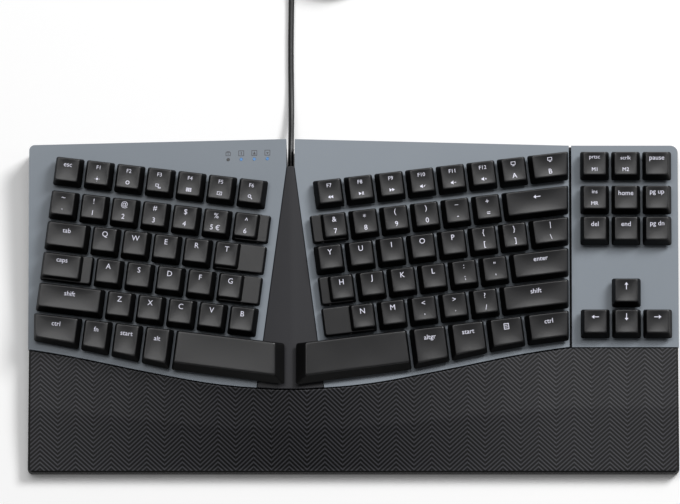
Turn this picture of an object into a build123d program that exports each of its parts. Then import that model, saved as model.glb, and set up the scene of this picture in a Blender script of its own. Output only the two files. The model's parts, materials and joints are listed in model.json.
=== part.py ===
from build123d import *
import math
import os

# An ergonomic mechanical keyboard: two key halves turned apart and raised to a ridge between them, a flat
# block of navigation keys on the right and a padded palm rest in front. Millimetres, +Z up, +X to the right,
# +Y to the back. The origin is under the middle of the outline, on the surface that the keyboard stands on.

# Outline in plan
WIDTH = 398.0
DEPTH = 201.0
BACK_LEFT_RADIUS = 3.3
BACK_RIGHT_RADIUS = 4.6
FRONT_RADIUS = 3.0
SPLIT_X = -38.5
NAV_WIDTH = 66.1
SEAM_GAP = 1.5
NOTCH_WIDTH = 5.1
NOTCH_DEPTH = 16.6
WEDGE_BACK_HALF = 2.5
WEDGE_FRONT_HALF = 20.6
WEDGE_CLEARANCE = 0.3
PALM_LINE = [152.5, 151.0, 148.1, 143.4, 138.2, 132.7, 127.6, 123.6]
PALM_LINE_NAV = 123.9
PALM_SIDE_INSET = 0.5
PALM_LINE_GAP = 0.5

# Tilts of the decks
ROW_TURN = 7.5
TENT = 7.0
SLOPE = 4.0
RIDGE_HEIGHT = 41.6

# Key grid
PITCH = 19.05
FUNCTION_ROW_EXTRA = 1.86
GRID_SIDE = 17.0
GRID_BACK = 7.0
NAV_GRID_SIDE = 5.3
NAV_GRID_BACK = 3.6
KEY_GAP = 1.35
SEAM_KEY_GAP = 0.9
SIDE_KEY_GAP = 4.2
SPACE_GAP = 6.2
BOTTOM_FRONT = 115.0
BOTTOM_BOW_LEFT = ((0.0, -0.2), (1.625, 1.8), (2.625, 3.4), (3.625, 5.2), (4.625, 7.1), (8.2, 7.5))
BOTTOM_BOW_RIGHT = ((-1.0, 1.1), (0.79, 1.4), (2.04, 2.8), (3.29, 5.1), (4.54, 7.2), (8.2, 7.6))
SPACE_SWITCH_PLACE = 6.0
CTRL_SWITCH_PLACE = 0.15
CTRL_SWITCH_NUDGE = 1.0

# Keycaps: heights above the deck, and how far each side of the top draws in
TRAVEL = 3.0
PRESSED_GAP = 0.4
CAP_HEIGHT = 6.0
CAP_WALL = 1.3
CAP_CEILING = 1.5
CAP_CORNER = 1.4
CAP_TOP_CORNER = 1.0
SIDE_INSET = 1.85
BACK_INSET = 0.8
FRONT_INSET = 3.0
STEP_SIDE_INSET = 3.0
STEP_HEIGHT = 3.0
STEP_END_INSET = 0.85
STEP_FRONT_INSET = 1.0
STEP_BACK_INSET = 0.3
STEP_BASE_INSET = 0.1
STEP_START = 3.0
SPACE_END_INSET = 5.3
SPACE_FRONT_INSET = 4.6
INNER_INSET = 2.2

# Switches, heights above the deck
SWITCH_SIZE = 13.8
SWITCH_FLANGE = 15.0
FLANGE_THICKNESS = 0.9
SWITCH_TOP = 2.3
SLIDER_LENGTH = 6.1
SLIDER_TOP = 5.3
SLIDER_SIZE = (10.0, 4.4)
SLIDER_CLEARANCE = 0.2
SLOT_SPACING = 5.7
PRONG_SIZE = (3.0, 1.2)
PRONG_LENGTH = 2.5
PRONG_CLEARANCE = 0.05
PIN_SIZE = 1.0
PIN_SPACING = 5.0
PIN_LENGTH = 2.8
CUT_CLEARANCE = 0.1
DECK_HOLE_CLEARANCE = 0.4

# Stabilisers of the wide keys
STABILISER_REACH = 12.0
SPACE_STABILISER_REACH = 19.05
POST_SIZE = 3.0
POST_BOTTOM = -0.8
GUIDE_SIZE = 6.0
GUIDE_BORE = 3.5
WIRE_DIAMETER = 1.4
WIRE_HEIGHT = 6.4
WIRE_SETBACK = 3.6
WIRE_BEND = 1.5

# Covers, plates and boards, heights above the deck
DECK_THICKNESS = 2.0
SKIRT_HEIGHT = 5.0
SKIRT_WALL = 2.0
PARTING_GAP = 0.2
PLATE_TOP = -2.2
PLATE_THICKNESS = 1.2
BOARD_TOP = -4.6
BOARD_THICKNESS = 1.6
PLATE_INSET = 3.2
PLATE_BACK = 0.5
PLATE_FRONT = 116.0
BOSS_HOLE_CLEARANCE = 0.4

# Bottom case
FOOT_HEIGHT = 1.2
FLOOR_THICKNESS = 2.2
CASE_WALL = 2.4
BOSS_DIAMETER = 5.0
BOSS_DEPTH = 8.0
BOSS_GAP = 0.1
SCREW_DIAMETER = 2.6
SCREW_LENGTH = 7.0
SCREW_HEAD = (4.6, 1.4)
SCREW_SEAT = 2.5
SCREW_CLEARANCE = 0.2
FOOT_PAD = (24.0, 8.0)
FOOT_RECESS = 0.8
FOOT_SIDE = 21.0
FOOT_FRONT = 10.0
FOOT_BACK = 9.0
BACK_FOOT_X = 105.0
RIB_SIZE = (3.0, 60.0)
RIB_BACK = 115.0
PALM_SCREW_PLACES = ((62.0, 43.0), (140.0, 61.0))

# Palm rest
PALM_FRONT_HEIGHT = 9.0
PALM_EDGE_ROUND = 2.0
PALM_CROWN = 1.4
PALM_BACK_DROP = 0.3
PAD_THICKNESS = 3.0
PAD_GAP = 0.3
PAD_FLOOR_GAP = 0.1
PALM_SHELL = 2.5
PALM_OVERRUN = 12.0

# Flip feet under the back corners
FLIP_FOOT_SIDE = 39.0
FLIP_AXIS_BACK = 17.0
FLIP_FOOT_SIZE = (34.0, 24.0, 4.0)
FLIP_CLEARANCE = 0.4
FLIP_PIN = 3.0
FLIP_PIN_LENGTH = 1.6
FLIP_PIN_CLEARANCE = 0.15
FLIP_RECESS = 0.2
FLIP_ROOF = 1.8

# Status lights
LIGHT_COUNT = 4
LIGHT_FIRST_X = -76.6
LIGHT_SPACING = 8.0
LIGHT_BACK = 11.8
LIGHT_DIAMETER = 1.8
LIGHT_LENGTH = 6.0
LIGHT_CLEARANCE = 0.1
LIGHT_FLANGE = (3.4, 1.0)

# Controller board and the lead's way out
CONTROLLER_SIZE = (56.0, 40.0, 1.6)
CONTROLLER_BACK = 51.0
CONTROLLER_POST = (5.0, 3.0)
CONTROLLER_CHIP = (9.0, 9.0, 1.0)
CONNECTOR_SIZE = (8.0, 6.0, 5.0)
EXIT_HEIGHT = 10.5
GROMMET_NECK = 4.4
GROMMET_FLANGE = (7.6, 1.6)
GROMMET_BOOT = (4.5, 3.9, 6.0)
GROMMET_CLEARANCE = 0.1

# Cord: a USB lead of 1.8 m, of which the first stretch lies straight back from the keyboard
CORD_DIAMETER = 3.6
ARC_SHARE = 0.45
LEAD_ROUTE = [
    (-38.5, 89.9, 10.5),
    (-38.5, 102.0, 10.5),
    (-38.3, 118.0, 5.4),
    (-38.4, 136.0, 1.9),
    (-38.8, 164.0, 1.9),
    (-38.4, 192.0, 2.1),
    (-38.5, 212.0, 2.7),
    (-38.5, 227.4, 2.7),
]
COIL_START = (-38.5, 231.0)
COIL_OUTER_RADIUS = 28.0
COIL_GAP = 0.5
COIL_LAYERS = 4
COIL_HALF_TURNS = 5
COIL_BOTTOM = 2.7
COIL_LAST_HALF_TURNS = 4
COIL_END_RADIUS = 27.0
TAIL_ROUTE = [
    (-5.85, 258.0, 15.0),
    (9.0, 258.0, 15.0),
    (26.0, 258.3, 9.6),
    (43.0, 258.6, 4.1),
    (57.0, 258.6, 4.1),
]
TIE_WIDTH = 9.0
TIE_THICKNESS = 0.7
TIE_GAP = 0.15
TIE_BEND_ROOM = 0.95
PLUG_GRIP = (22.0, 16.0, 8.0)
PLUG_GRIP_RADIUS = 2.0
PLUG_SHELL = (19.0, 12.0, 4.5)
PLUG_SHELL_WALL = 0.4
PLUG_TONGUE = (17.0, 11.0, 1.8)
PLUG_RELIEF = (10.0, 5.6)

HALF_WIDTH = WIDTH / 2
BACK_Y = DEPTH / 2
FRONT_Y = -DEPTH / 2
NOTCH_Y = BACK_Y - NOTCH_DEPTH
SEAM_X = HALF_WIDTH - NAV_WIDTH
FLIP_FOOT_X = HALF_WIDTH - FLIP_FOOT_SIDE
FLIP_AXIS_Y = BACK_Y - FLIP_AXIS_BACK
CONTROLLER_Y = BACK_Y - CONTROLLER_BACK
COIL_STEP = CORD_DIAMETER + COIL_GAP
FLOOR_TOP = FOOT_HEIGHT + FLOOR_THICKNESS
CAP_BASE = TRAVEL + PRESSED_GAP
CAP_TOP = CAP_BASE + CAP_HEIGHT
PLATE_BOTTOM = PLATE_TOP - PLATE_THICKNESS
BOARD_BOTTOM = BOARD_TOP - BOARD_THICKNESS
TALL = 120.0
CURVE_ARCS = 3
FAR = 500.0


def row_place(row):
    """How far in front of the grid's corner a row of keys starts."""
    return row * PITCH + (FUNCTION_ROW_EXTRA if row else 0.0)


class Deck:
    """One tilted deck with its key grid: x runs along the rows, y to the back, z out of the deck."""

    def __init__(self, grid_x, grid_y, tent, turn, mirrored, outline):
        self.mirrored = mirrored
        self.outline = outline
        tilt = Rot(X=SLOPE) * Rot(Y=-tent)
        plane = Plane(tilt)
        ridge = Vector(SPLIT_X if tent else SEAM_X, BACK_Y, self.edge_height(tent))
        self.normal = plane.z_dir
        self.through = ridge
        self.frame = Pos(grid_x, grid_y, self.height(grid_x, grid_y)) * tilt * Rot(Z=-turn)
        self.plane = Plane(self.frame)

    @staticmethod
    def edge_height(tent):
        drop = (SEAM_X - SPLIT_X) * math.tan(math.radians(TENT)) / math.cos(math.radians(SLOPE))
        return RIDGE_HEIGHT if tent else RIDGE_HEIGHT - drop

    def height(self, x, y):
        """The height of the deck over a point of the plan."""
        n, p = self.normal, self.through
        return p.Z - (n.X * (x - p.X) + n.Y * (y - p.Y)) / n.Z

    def along(self, place):
        """Turns a place counted in keys from the outer end of a row into the deck's x."""
        return -place * PITCH if self.mirrored else place * PITCH

    def line_x(self, world_x, y):
        """The deck's x at which a line straight to the back, at one world x, crosses the deck's y."""
        o, u, v = self.plane.origin, self.plane.x_dir, self.plane.y_dir
        return (world_x - o.X - y * v.X) / u.X

    def slab(self, top, bottom):
        """All that lies between two heights above the deck."""
        slab = Box(FAR, FAR, top - bottom, align=(Align.CENTER, Align.CENTER, Align.MIN))
        return self.frame * Pos(0, 0, bottom) * slab

    def below(self, top):
        """All that lies under a height above the deck."""
        return self.slab(top, top - TALL)


def palm_line(x):
    """The front edge of the decks over a place across the keyboard, as a distance from the back edge.

    It is a smooth curve through evenly spaced points, the same on both sides of the ridge.
    """
    if x > SEAM_X:
        return PALM_LINE_NAV
    last = len(PALM_LINE) - 1
    across = abs(x - SPLIT_X) / (SEAM_X - SPLIT_X) * last
    n = min(int(across), last - 1)
    t = across - n
    a, b = PALM_LINE[n], PALM_LINE[n + 1]
    before = PALM_LINE[n - 1] if n else PALM_LINE[1]
    after = PALM_LINE[n + 2] if n + 2 <= last else 2 * b - a
    leave, arrive = (b - before) / 2, (after - a) / 2
    bend = (2 * t**3 - 3 * t**2 + 1) * a + (3 * t**2 - 2 * t**3) * b
    return bend + (t**3 - 2 * t**2 + t) * leave + (t**3 - t**2) * arrive


def front_curve(x_from, x_to, gap=0.0):
    """The front edge of the decks between two places as a chain of arcs, moved forward by a gap."""
    steps = 2 * CURVE_ARCS
    places = [x_from + (x_to - x_from) * n / steps for n in range(steps + 1)]
    points = [(x, BACK_Y - gap - palm_line(x)) for x in places]
    return Wire([ThreePointArc(*points[n : n + 3]).edge() for n in range(0, steps, 2)])


def rounded(face, corners):
    """Rounds the corners of a face that lie nearest to the given points, each with its radius."""
    for x, y, radius in corners:
        corner = face.vertices().sort_by_distance((x, y, 0))[0]
        face = fillet(corner, radius)
    return face


def closed(*edges):
    return make_face(Wire(list(edges)))


def half_outline(side, end_x, corners):
    """The plan of the left or right deck: side is -1 or 1, and end_x is its outer edge."""
    inner_back = SPLIT_X + side * NOTCH_WIDTH / 2
    wedge_back = SPLIT_X + side * WEDGE_BACK_HALF
    wedge_front = SPLIT_X + side * WEDGE_FRONT_HALF
    front = front_curve(wedge_front, end_x)
    path = Polyline(
        front @ 1,
        (end_x, BACK_Y),
        (inner_back, BACK_Y),
        (inner_back, NOTCH_Y),
        (wedge_back, NOTCH_Y - WEDGE_CLEARANCE),
        front @ 0,
    )
    return rounded(closed(*path.edges(), *front.edges()), corners)


def nav_outline():
    left, right = SEAM_X + SEAM_GAP / 2, HALF_WIDTH
    front = BACK_Y - PALM_LINE_NAV
    face = make_face(Polyline((left, front), (right, front), (right, BACK_Y), (left, BACK_Y), close=True))
    return rounded(face, [(right, BACK_Y, BACK_RIGHT_RADIUS)])


def wedge_outline():
    """The plan of the black piece between the halves."""
    back, front = WEDGE_BACK_HALF - WEDGE_CLEARANCE, WEDGE_FRONT_HALF - WEDGE_CLEARANCE
    edge = front_curve(SPLIT_X - front, SPLIT_X + front)
    path = Polyline(edge @ 1, (SPLIT_X + back, NOTCH_Y), (SPLIT_X - back, NOTCH_Y), edge @ 0)
    return closed(*path.edges(), *edge.edges())


def case_outline():
    """The plan of the whole keyboard, with the notch for the lead in its back edge."""
    w, notch = HALF_WIDTH, NOTCH_WIDTH / 2
    face = make_face(
        Polyline(
            (-w, FRONT_Y),
            (w, FRONT_Y),
            (w, BACK_Y),
            (SPLIT_X + notch, BACK_Y),
            (SPLIT_X + notch, NOTCH_Y),
            (SPLIT_X - notch, NOTCH_Y),
            (SPLIT_X - notch, BACK_Y),
            (-w, BACK_Y),
            close=True,
        )
    )
    corners = [(-w, FRONT_Y, FRONT_RADIUS), (w, FRONT_Y, FRONT_RADIUS)]
    return rounded(face, corners + [(w, BACK_Y, BACK_RIGHT_RADIUS), (-w, BACK_Y, BACK_LEFT_RADIUS)])


def prism(face, low=0.0, high=TALL):
    return Pos(0, 0, low) * extrude(face, high - low)


def shrunk(face, by):
    return offset(face, -by, kind=Kind.INTERSECTION)


LEFT_OUTLINE = half_outline(-1, -HALF_WIDTH, [(-HALF_WIDTH, BACK_Y, BACK_LEFT_RADIUS)])
RIGHT_OUTLINE = half_outline(1, SEAM_X - SEAM_GAP / 2, [])
NAV_OUTLINE = nav_outline()
CASE_OUTLINE = case_outline()
GRID_X, GRID_Y = -HALF_WIDTH + GRID_SIDE, BACK_Y - GRID_BACK
LEFT = Deck(GRID_X, GRID_Y, TENT, ROW_TURN, False, LEFT_OUTLINE)
RIGHT = Deck(2 * SPLIT_X - GRID_X, GRID_Y, -TENT, -ROW_TURN, True, RIGHT_OUTLINE)
NAV = Deck(SEAM_X + NAV_GRID_SIDE, BACK_Y - NAV_GRID_BACK, 0.0, 0.0, False, NAV_OUTLINE)
DECKS = {"left": LEFT, "right": RIGHT, "nav": NAV}


def deck_height(x, y):
    """The height of the decks over any point of the plan."""
    if x > SEAM_X:
        return NAV.height(x, y)
    return min(LEFT.height(x, y), RIGHT.height(x, y))


class Key:
    """One key: its row, its ends counted in keys from the outer end of the row, and what is special.

    raised_to is where the raised top of a stepped key ends, and outer_line and inner_line are world x
    values of ends that run straight to the back instead of along the columns. place is where the switch
    sits along the row, and nudge is how far it sits behind the key's middle.
    """

    def __init__(
        self, deck, row, start, end, raised_to=None, outer_line=None, inner_line=None, place=None, nudge=0.0
    ):
        self.deck, self.row, self.start, self.end = deck, row, start, end
        self.raised_to, self.outer_line, self.inner_line = raised_to, outer_line, inner_line
        self.bottom = row == 5 and deck is not NAV
        self.wide = self.end - self.start > 1.9 and raised_to is None
        self.space = inner_line is not None
        self.place, self.nudge = place, nudge

    def front_y(self, place):
        """The front edge of the caps. The bottom row's follows the curve of the palm rest, key by key."""
        if self.bottom:
            bows = BOTTOM_BOW_RIGHT if self.deck.mirrored else BOTTOM_BOW_LEFT
            (a, low), (b, high) = [pair for pair in zip(bows, bows[1:]) if place < pair[1][0]][0]
            return -BOTTOM_FRONT - low - (high - low) * (place - a) / (b - a)
        return -row_place(self.row) - PITCH + KEY_GAP / 2

    def corners(self, end=None):
        """The base of the keycap in the deck's frame, from its front outer corner round to its back one."""
        end = self.end if end is None else end
        back = -row_place(self.row) - KEY_GAP / 2
        side = KEY_GAP / 2 / PITCH
        outer, inner = self.start + side, end - side
        places = [(outer, self.front_y(outer)), (inner, self.front_y(inner)), (inner, back), (outer, back)]
        points = [(self.deck.along(place), y) for place, y in places]
        for world_x, which in ((self.outer_line, (0, 3)), (self.inner_line, (1, 2))):
            if world_x is not None:
                for n in which:
                    points[n] = (self.deck.line_x(world_x, points[n][1]), points[n][1])
        return points

    def centre(self):
        """Where the switch sits."""
        if self.place is not None:
            x = self.deck.along(self.place)
        elif self.raised_to is not None and self.row != 3 or self.raised_to == 6.75:
            x = self.deck.along(self.start + 0.5)
        else:
            points = self.corners(self.raised_to)
            x = sum(p[0] for p in points) / 4
        points = self.corners()
        return x, (points[0][1] + points[1][1] + points[2][1] + points[3][1]) / 4 + self.nudge


def ccw(points):
    """The points in anticlockwise order, and whether they were turned round."""
    area = sum(a[0] * b[1] - b[0] * a[1] for a, b in zip(points, points[1:] + points[:1]))
    return area > 0


def drawn_in(points, insets):
    """A quadrilateral with each side moved inwards by its own distance: front, inner, back, outer."""
    sign = 1 if ccw(points) else -1
    lines = []
    for n, inset in enumerate(insets):
        (ax, ay), (bx, by) = points[n], points[(n + 1) % 4]
        length = math.hypot(bx - ax, by - ay)
        dx, dy = (bx - ax) / length, (by - ay) / length
        lines.append((ax - dy * inset * sign, ay + dx * inset * sign, dx, dy))
    out = []
    for n in range(4):
        (px, py, dx, dy), (qx, qy, ex, ey) = lines[n - 1], lines[n]
        t = ((qx - px) * ey - (qy - py) * ex) / (dx * ey - dy * ex)
        out.append((px + t * dx, py + t * dy))
    return out


def plate_shape(points, height, radius):
    ordered = points if ccw(points) else points[::-1]
    face = make_face(Polyline(*ordered, close=True))
    if radius:
        face = fillet(face.vertices(), radius)
    return Pos(0, 0, height) * face


def tapered(base, top, low, high, radii=(0.0, 0.0)):
    return loft([plate_shape(base, low, radii[0]), plate_shape(top, high, radii[1])], ruled=True)


def block(x, y, size_x, size_y, low, high):
    """An upright box in a deck's frame."""
    return Pos(x, y, low) * Box(size_x, size_y, high - low, align=(Align.CENTER, Align.CENTER, Align.MIN))


def cap_body(base, insets, low, high):
    """A hollow tapered cap, open below."""
    radii = (CAP_CORNER, CAP_TOP_CORNER)
    shell = tapered(base, drawn_in(base, insets), low, high, radii)
    ceiling = high - CAP_CEILING
    share = (ceiling - low) / (high - low)
    inner_base = drawn_in(base, [CAP_WALL] * 4)
    inner_top = drawn_in(base, [CAP_WALL + inset * share for inset in insets])
    return shell, tapered(inner_base, inner_top, low, ceiling)


def keycap(key):
    """A cap with the two prongs that hold it in its slider, and the posts of a wide key."""
    x, y = key.centre()
    base = key.corners(key.raised_to)
    inner = SPACE_END_INSET if key.space else STEP_SIDE_INSET if key.raised_to else INNER_INSET
    insets = [SPACE_FRONT_INSET if key.space else FRONT_INSET, inner, BACK_INSET, SIDE_INSET]
    shell, hollow = cap_body(base, insets, CAP_BASE, CAP_TOP)
    if key.raised_to:
        low_insets = [STEP_FRONT_INSET, STEP_END_INSET, STEP_BACK_INSET, SIDE_INSET]
        foot = drawn_in(key.corners(), [STEP_BASE_INSET, 0, STEP_BASE_INSET, STEP_START])
        step, step_hollow = cap_body(foot, low_insets, CAP_BASE, CAP_BASE + STEP_HEIGHT)
        shell, hollow = shell + step, hollow + step_hollow
    cap = shell - hollow
    ceiling = CAP_TOP - CAP_CEILING
    cap += block(x, y, *SLIDER_SIZE, SLIDER_TOP, ceiling + CAP_CEILING / 2)
    for side in (-1, 1):
        cap += block(x + side * SLOT_SPACING / 2, y, *PRONG_SIZE, SLIDER_TOP - PRONG_LENGTH, SLIDER_TOP)
        if key.wide:
            post = x + side * stabiliser_reach(key)
            cap += block(post, y, POST_SIZE, POST_SIZE, POST_BOTTOM, ceiling + CAP_CEILING / 2)
    return cap


def stabiliser_reach(key):
    return SPACE_STABILISER_REACH if key.space else STABILISER_REACH


def slider(key):
    """The switch's moving stem, with the two slots that the cap's prongs press into."""
    x, y = key.centre()
    stem = block(x, y, *SLIDER_SIZE, SLIDER_TOP - SLIDER_LENGTH, SLIDER_TOP)
    for side in (-1, 1):
        slot = [size + 2 * PRONG_CLEARANCE for size in PRONG_SIZE]
        depth = PRONG_LENGTH + PRONG_CLEARANCE
        stem -= block(x + side * SLOT_SPACING / 2, y, *slot, SLIDER_TOP - depth, SLIDER_TOP)
    return stem


def stabiliser_wire(key):
    """The bent wire under a wide cap, from post to post."""
    x, y = key.centre()
    reach = stabiliser_reach(key)
    back, front = y - POST_SIZE / 2, y - POST_SIZE / 2 - WIRE_SETBACK
    spine = FilletPolyline(
        (x - reach, back, WIRE_HEIGHT),
        (x - reach, front, WIRE_HEIGHT),
        (x + reach, front, WIRE_HEIGHT),
        (x + reach, back, WIRE_HEIGHT),
        radius=WIRE_BEND,
    )
    section = Plane(spine @ 0, z_dir=spine % 0) * Circle(WIRE_DIAMETER / 2)
    return sweep(section, spine)


def switch_base():
    """The lower housing of a switch with its two pins, open above, about its own centre."""
    flange_top = PLATE_TOP + FLANGE_THICKNESS
    base = block(0, 0, SWITCH_SIZE, SWITCH_SIZE, BOARD_TOP, PLATE_TOP)
    base += block(0, 0, SWITCH_FLANGE, SWITCH_FLANGE, PLATE_TOP, flange_top)
    room = [size + 2 * SLIDER_CLEARANCE for size in SLIDER_SIZE]
    floor = SLIDER_TOP - SLIDER_LENGTH - TRAVEL - SLIDER_CLEARANCE
    base -= block(0, 0, *room, floor, flange_top)
    for side in (-1, 1):
        y = PIN_SPACING * side
        base += block(side * PIN_SPACING / 2, y, PIN_SIZE, PIN_SIZE, BOARD_TOP - PIN_LENGTH, BOARD_TOP)
    return base


def switch_top():
    """The upper housing of a switch, a frame round the slider."""
    low = PLATE_TOP + FLANGE_THICKNESS
    half = SWITCH_SIZE / 2
    corners = [(-half, -half), (half, -half), (half, half), (-half, half)]
    top = tapered(corners, drawn_in(corners, [0.8] * 4), low, SWITCH_TOP)
    room = [size + 2 * SLIDER_CLEARANCE for size in SLIDER_SIZE]
    return top - block(0, 0, *room, low, SWITCH_TOP)


def side_x(side):
    """The world x of the outer ends of the keys that run along the seam or the case's side."""
    return -HALF_WIDTH + SIDE_KEY_GAP if side < 0 else SEAM_X - SEAM_GAP / 2 - SEAM_KEY_GAP


def space_x(side):
    return SPLIT_X + side * SPACE_GAP / 2


def run(deck, row, start, count, step=1.0):
    return [Key(deck, row, start + n * step, start + (n + 1) * step) for n in range(count)]


def seam_key(row, end, **switch):
    """A key of the right half whose outer end follows the seam."""
    x = side_x(1)
    back = -row_place(row) - KEY_GAP / 2
    middle_y = back - (PITCH - KEY_GAP) / 2
    start = -RIGHT.line_x(x, middle_y) / PITCH
    return Key(RIGHT, row, start, end, outer_line=x, **switch)


KEYS = {
    "esc_key": run(LEFT, 0, 0, 1),
    "function_keys_left": run(LEFT, 0, 1, 6),
    "number_keys_left": run(LEFT, 1, 0, 6) + [Key(LEFT, 1, 6, 7.25, 7)],
    "tab_key": [Key(LEFT, 2, 0, 1.5)],
    "letter_keys_qwert": run(LEFT, 2, 1.5, 4) + [Key(LEFT, 2, 5.5, 7.25, 6.5)],
    "caps_lock_key": [Key(LEFT, 3, 0, 1.75, 1.5)],
    "letter_keys_asdfg": run(LEFT, 3, 1.75, 4) + [Key(LEFT, 3, 5.75, 7.25, 6.75)],
    "shift_left_key": [Key(LEFT, 4, 0, 2.25)],
    "letter_keys_zxcvb": run(LEFT, 4, 2.25, 5),
    "ctrl_left_key": [Key(LEFT, 5, 0, 1.625, outer_line=side_x(-1))],
    "fn_key": run(LEFT, 5, 1.625, 1),
    "start_left_key": run(LEFT, 5, 2.625, 1),
    "alt_left_key": run(LEFT, 5, 3.625, 1),
    "space_left_key": [Key(LEFT, 5, 4.625, 8.2, inner_line=space_x(-1), place=SPACE_SWITCH_PLACE)],
    "function_keys_right": run(RIGHT, 0, 1, 6),
    "layout_a_key": run(RIGHT, 0, 0, 1),
    "layout_b_key": [seam_key(0, 0)],
    "number_keys_right": run(RIGHT, 1, 1, 5) + [Key(RIGHT, 1, 6, 7.25, 7)],
    "backspace_key": [seam_key(1, 1)],
    "letter_keys_yuiop": run(RIGHT, 2, 0.255, 7),
    "backslash_key": [seam_key(2, 0.255)],
    "letter_keys_hjkl": run(RIGHT, 3, 1.03, 5) + [Key(RIGHT, 3, 6.03, 7.25, 7.03)],
    "enter_key": [seam_key(3, 1.03)],
    "letter_keys_nm": run(RIGHT, 4, 1.48, 4) + [Key(RIGHT, 4, 5.48, 7.27, 6.48)],
    "shift_right_key": [seam_key(4, 1.48)],
    "space_right_key": [Key(RIGHT, 5, 4.54, 8.2, inner_line=space_x(1), place=SPACE_SWITCH_PLACE)],
    "alt_right_key": [Key(RIGHT, 5, 3.29, 4.54)],
    "start_right_key": [Key(RIGHT, 5, 2.04, 3.29)],
    "menu_key": [Key(RIGHT, 5, 0.79, 2.04)],
    "ctrl_right_key": [seam_key(5, 0.79, place=CTRL_SWITCH_PLACE, nudge=CTRL_SWITCH_NUDGE)],
    "system_keys": run(NAV, 0, 0, 3),
    "navigation_keys": run(NAV, 1, 0, 3) + run(NAV, 2, 0, 3),
    "up_arrow_key": run(NAV, 4, 1, 1),
    "left_arrow_key": run(NAV, 5, 0, 1),
    "down_arrow_key": run(NAV, 5, 1, 1),
    "right_arrow_key": run(NAV, 5, 2, 1),
}
ALL_KEYS = [key for keys in KEYS.values() for key in keys]

# Screw places: in the deck's frame as keys along the row and rows' keys to the front, and in plan
BOSS_PLACES = {
    "left": [(2.3, -0.32), (4.6, -0.45), (1.49, 5.62), (4.68, 5.68)],
    "right": [(2.3, -0.32), (4.6, -0.45), (0.73, 5.6), (4.58, 5.68)],
    "nav": [(1.0, 1.049), (0.5, 3.6), (2.5, 3.6)],
}
PALM_SCREWS = [(SPLIT_X + side * across, FRONT_Y + y) for side in (-1, 1) for across, y in PALM_SCREW_PLACES]


def boss_points(name):
    """The plan places of a deck's screws, on its surface."""
    deck = DECKS[name]
    points = []
    for along, down in BOSS_PLACES[name]:
        spot = deck.plane.from_local_coords((deck.along(along), -down * PITCH, 0))
        points.append((spot.X, spot.Y, spot.Z))
    return points


def rod(x, y, diameter, low, high):
    return Pos(x, y, low) * Cylinder(diameter / 2, high - low, align=(Align.CENTER, Align.CENTER, Align.MIN))


def light_places():
    return [(LIGHT_FIRST_X + n * LIGHT_SPACING, BACK_Y - LIGHT_BACK) for n in range(LIGHT_COUNT)]


def deck_keys(name):
    return [key for key in ALL_KEYS if key.deck is DECKS[name]]


def openings(name, size, guide, low, high):
    """Square holes for a deck's switches and stabilisers, between two heights above the deck."""
    deck = DECKS[name]
    holes = []
    for key in deck_keys(name):
        x, y = key.centre()
        holes.append(deck.frame * block(x, y, size, size, low, high))
        if key.wide:
            for side in (-1, 1):
                post = x + side * stabiliser_reach(key)
                holes.append(deck.frame * block(post, y, guide, guide, low, high))
    return holes


def cover(name):
    """A deck with its skirt, its switch openings and the bosses that its screws run into."""
    deck = DECKS[name]
    outside = prism(deck.outline)
    shell = outside & deck.slab(0, -DECK_THICKNESS)
    skirt = outside & deck.slab(-DECK_THICKNESS / 2, -SKIRT_HEIGHT)
    skirt -= prism(shrunk(deck.outline, SKIRT_WALL))
    shell += skirt
    size = SWITCH_FLANGE + DECK_HOLE_CLEARANCE
    shell -= openings(name, size, GUIDE_SIZE + DECK_HOLE_CLEARANCE, -DECK_THICKNESS - 1, 1)
    for x, y, z in boss_points(name):
        top = z - DECK_THICKNESS / 2
        boss = rod(x, y, BOSS_DIAMETER, z - BOSS_DEPTH, top)
        shell += boss - rod(x, y, SCREW_DIAMETER, z - BOSS_DEPTH, z - DECK_THICKNESS - 0.5)
    if name == "left":
        shell -= [rod(x, y, LIGHT_DIAMETER + 2 * LIGHT_CLEARANCE, 0, TALL) for x, y in light_places()]
    return shell


def sheet(name, top, thickness, hole, guide):
    """A flat plate or board under a deck, with its holes."""
    deck = DECKS[name]
    middle = (PLATE_BACK - PLATE_FRONT) / 2
    length = PLATE_BACK + PLATE_FRONT
    strip = Pos(0, middle, top - thickness) * Box(
        FAR, length, thickness, align=(Align.CENTER, Align.CENTER, Align.MIN)
    )
    plate = (deck.frame * strip) & prism(shrunk(deck.outline, PLATE_INSET))
    if hole:
        plate -= openings(name, hole, guide, top - thickness - 1, top + 1)
    drilled = BOSS_DIAMETER + 2 * BOSS_HOLE_CLEARANCE
    for x, y, z in boss_points(name):
        plate -= rod(x, y, drilled, 0, TALL)
    return plate


def board(name):
    """A circuit board, drilled for the pins of its switches."""
    deck = DECKS[name]
    made = sheet(name, BOARD_TOP, BOARD_THICKNESS, None, None)
    pins = []
    for key in deck_keys(name):
        x, y = key.centre()
        for side in (-1, 1):
            hole = PIN_SIZE + CUT_CLEARANCE
            spot = (x + side * PIN_SPACING / 2, y + side * PIN_SPACING)
            pins.append(deck.frame * block(*spot, hole, hole, BOARD_BOTTOM - 1, BOARD_TOP + 1))
        if key.wide:
            for side in (-1, 1):
                post = x + side * stabiliser_reach(key)
                hole = deck.frame * block(post, y, GUIDE_SIZE, GUIDE_SIZE, BOARD_BOTTOM - 1, BOARD_TOP + 1)
                pins.append(hole)
    return made - pins


def guides():
    """The square tubes that steer the posts of the wide keys."""
    made = []
    for key in ALL_KEYS:
        if not key.wide:
            continue
        x, y = key.centre()
        size = GUIDE_SIZE - CUT_CLEARANCE
        for side in (-1, 1):
            post = x + side * stabiliser_reach(key)
            tube = block(post, y, size, size, PLATE_BOTTOM, SWITCH_TOP)
            tube -= block(post, y, GUIDE_BORE, GUIDE_BORE, PLATE_BOTTOM, SWITCH_TOP)
            made.append(key.deck.frame * tube)
    return made


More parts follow.
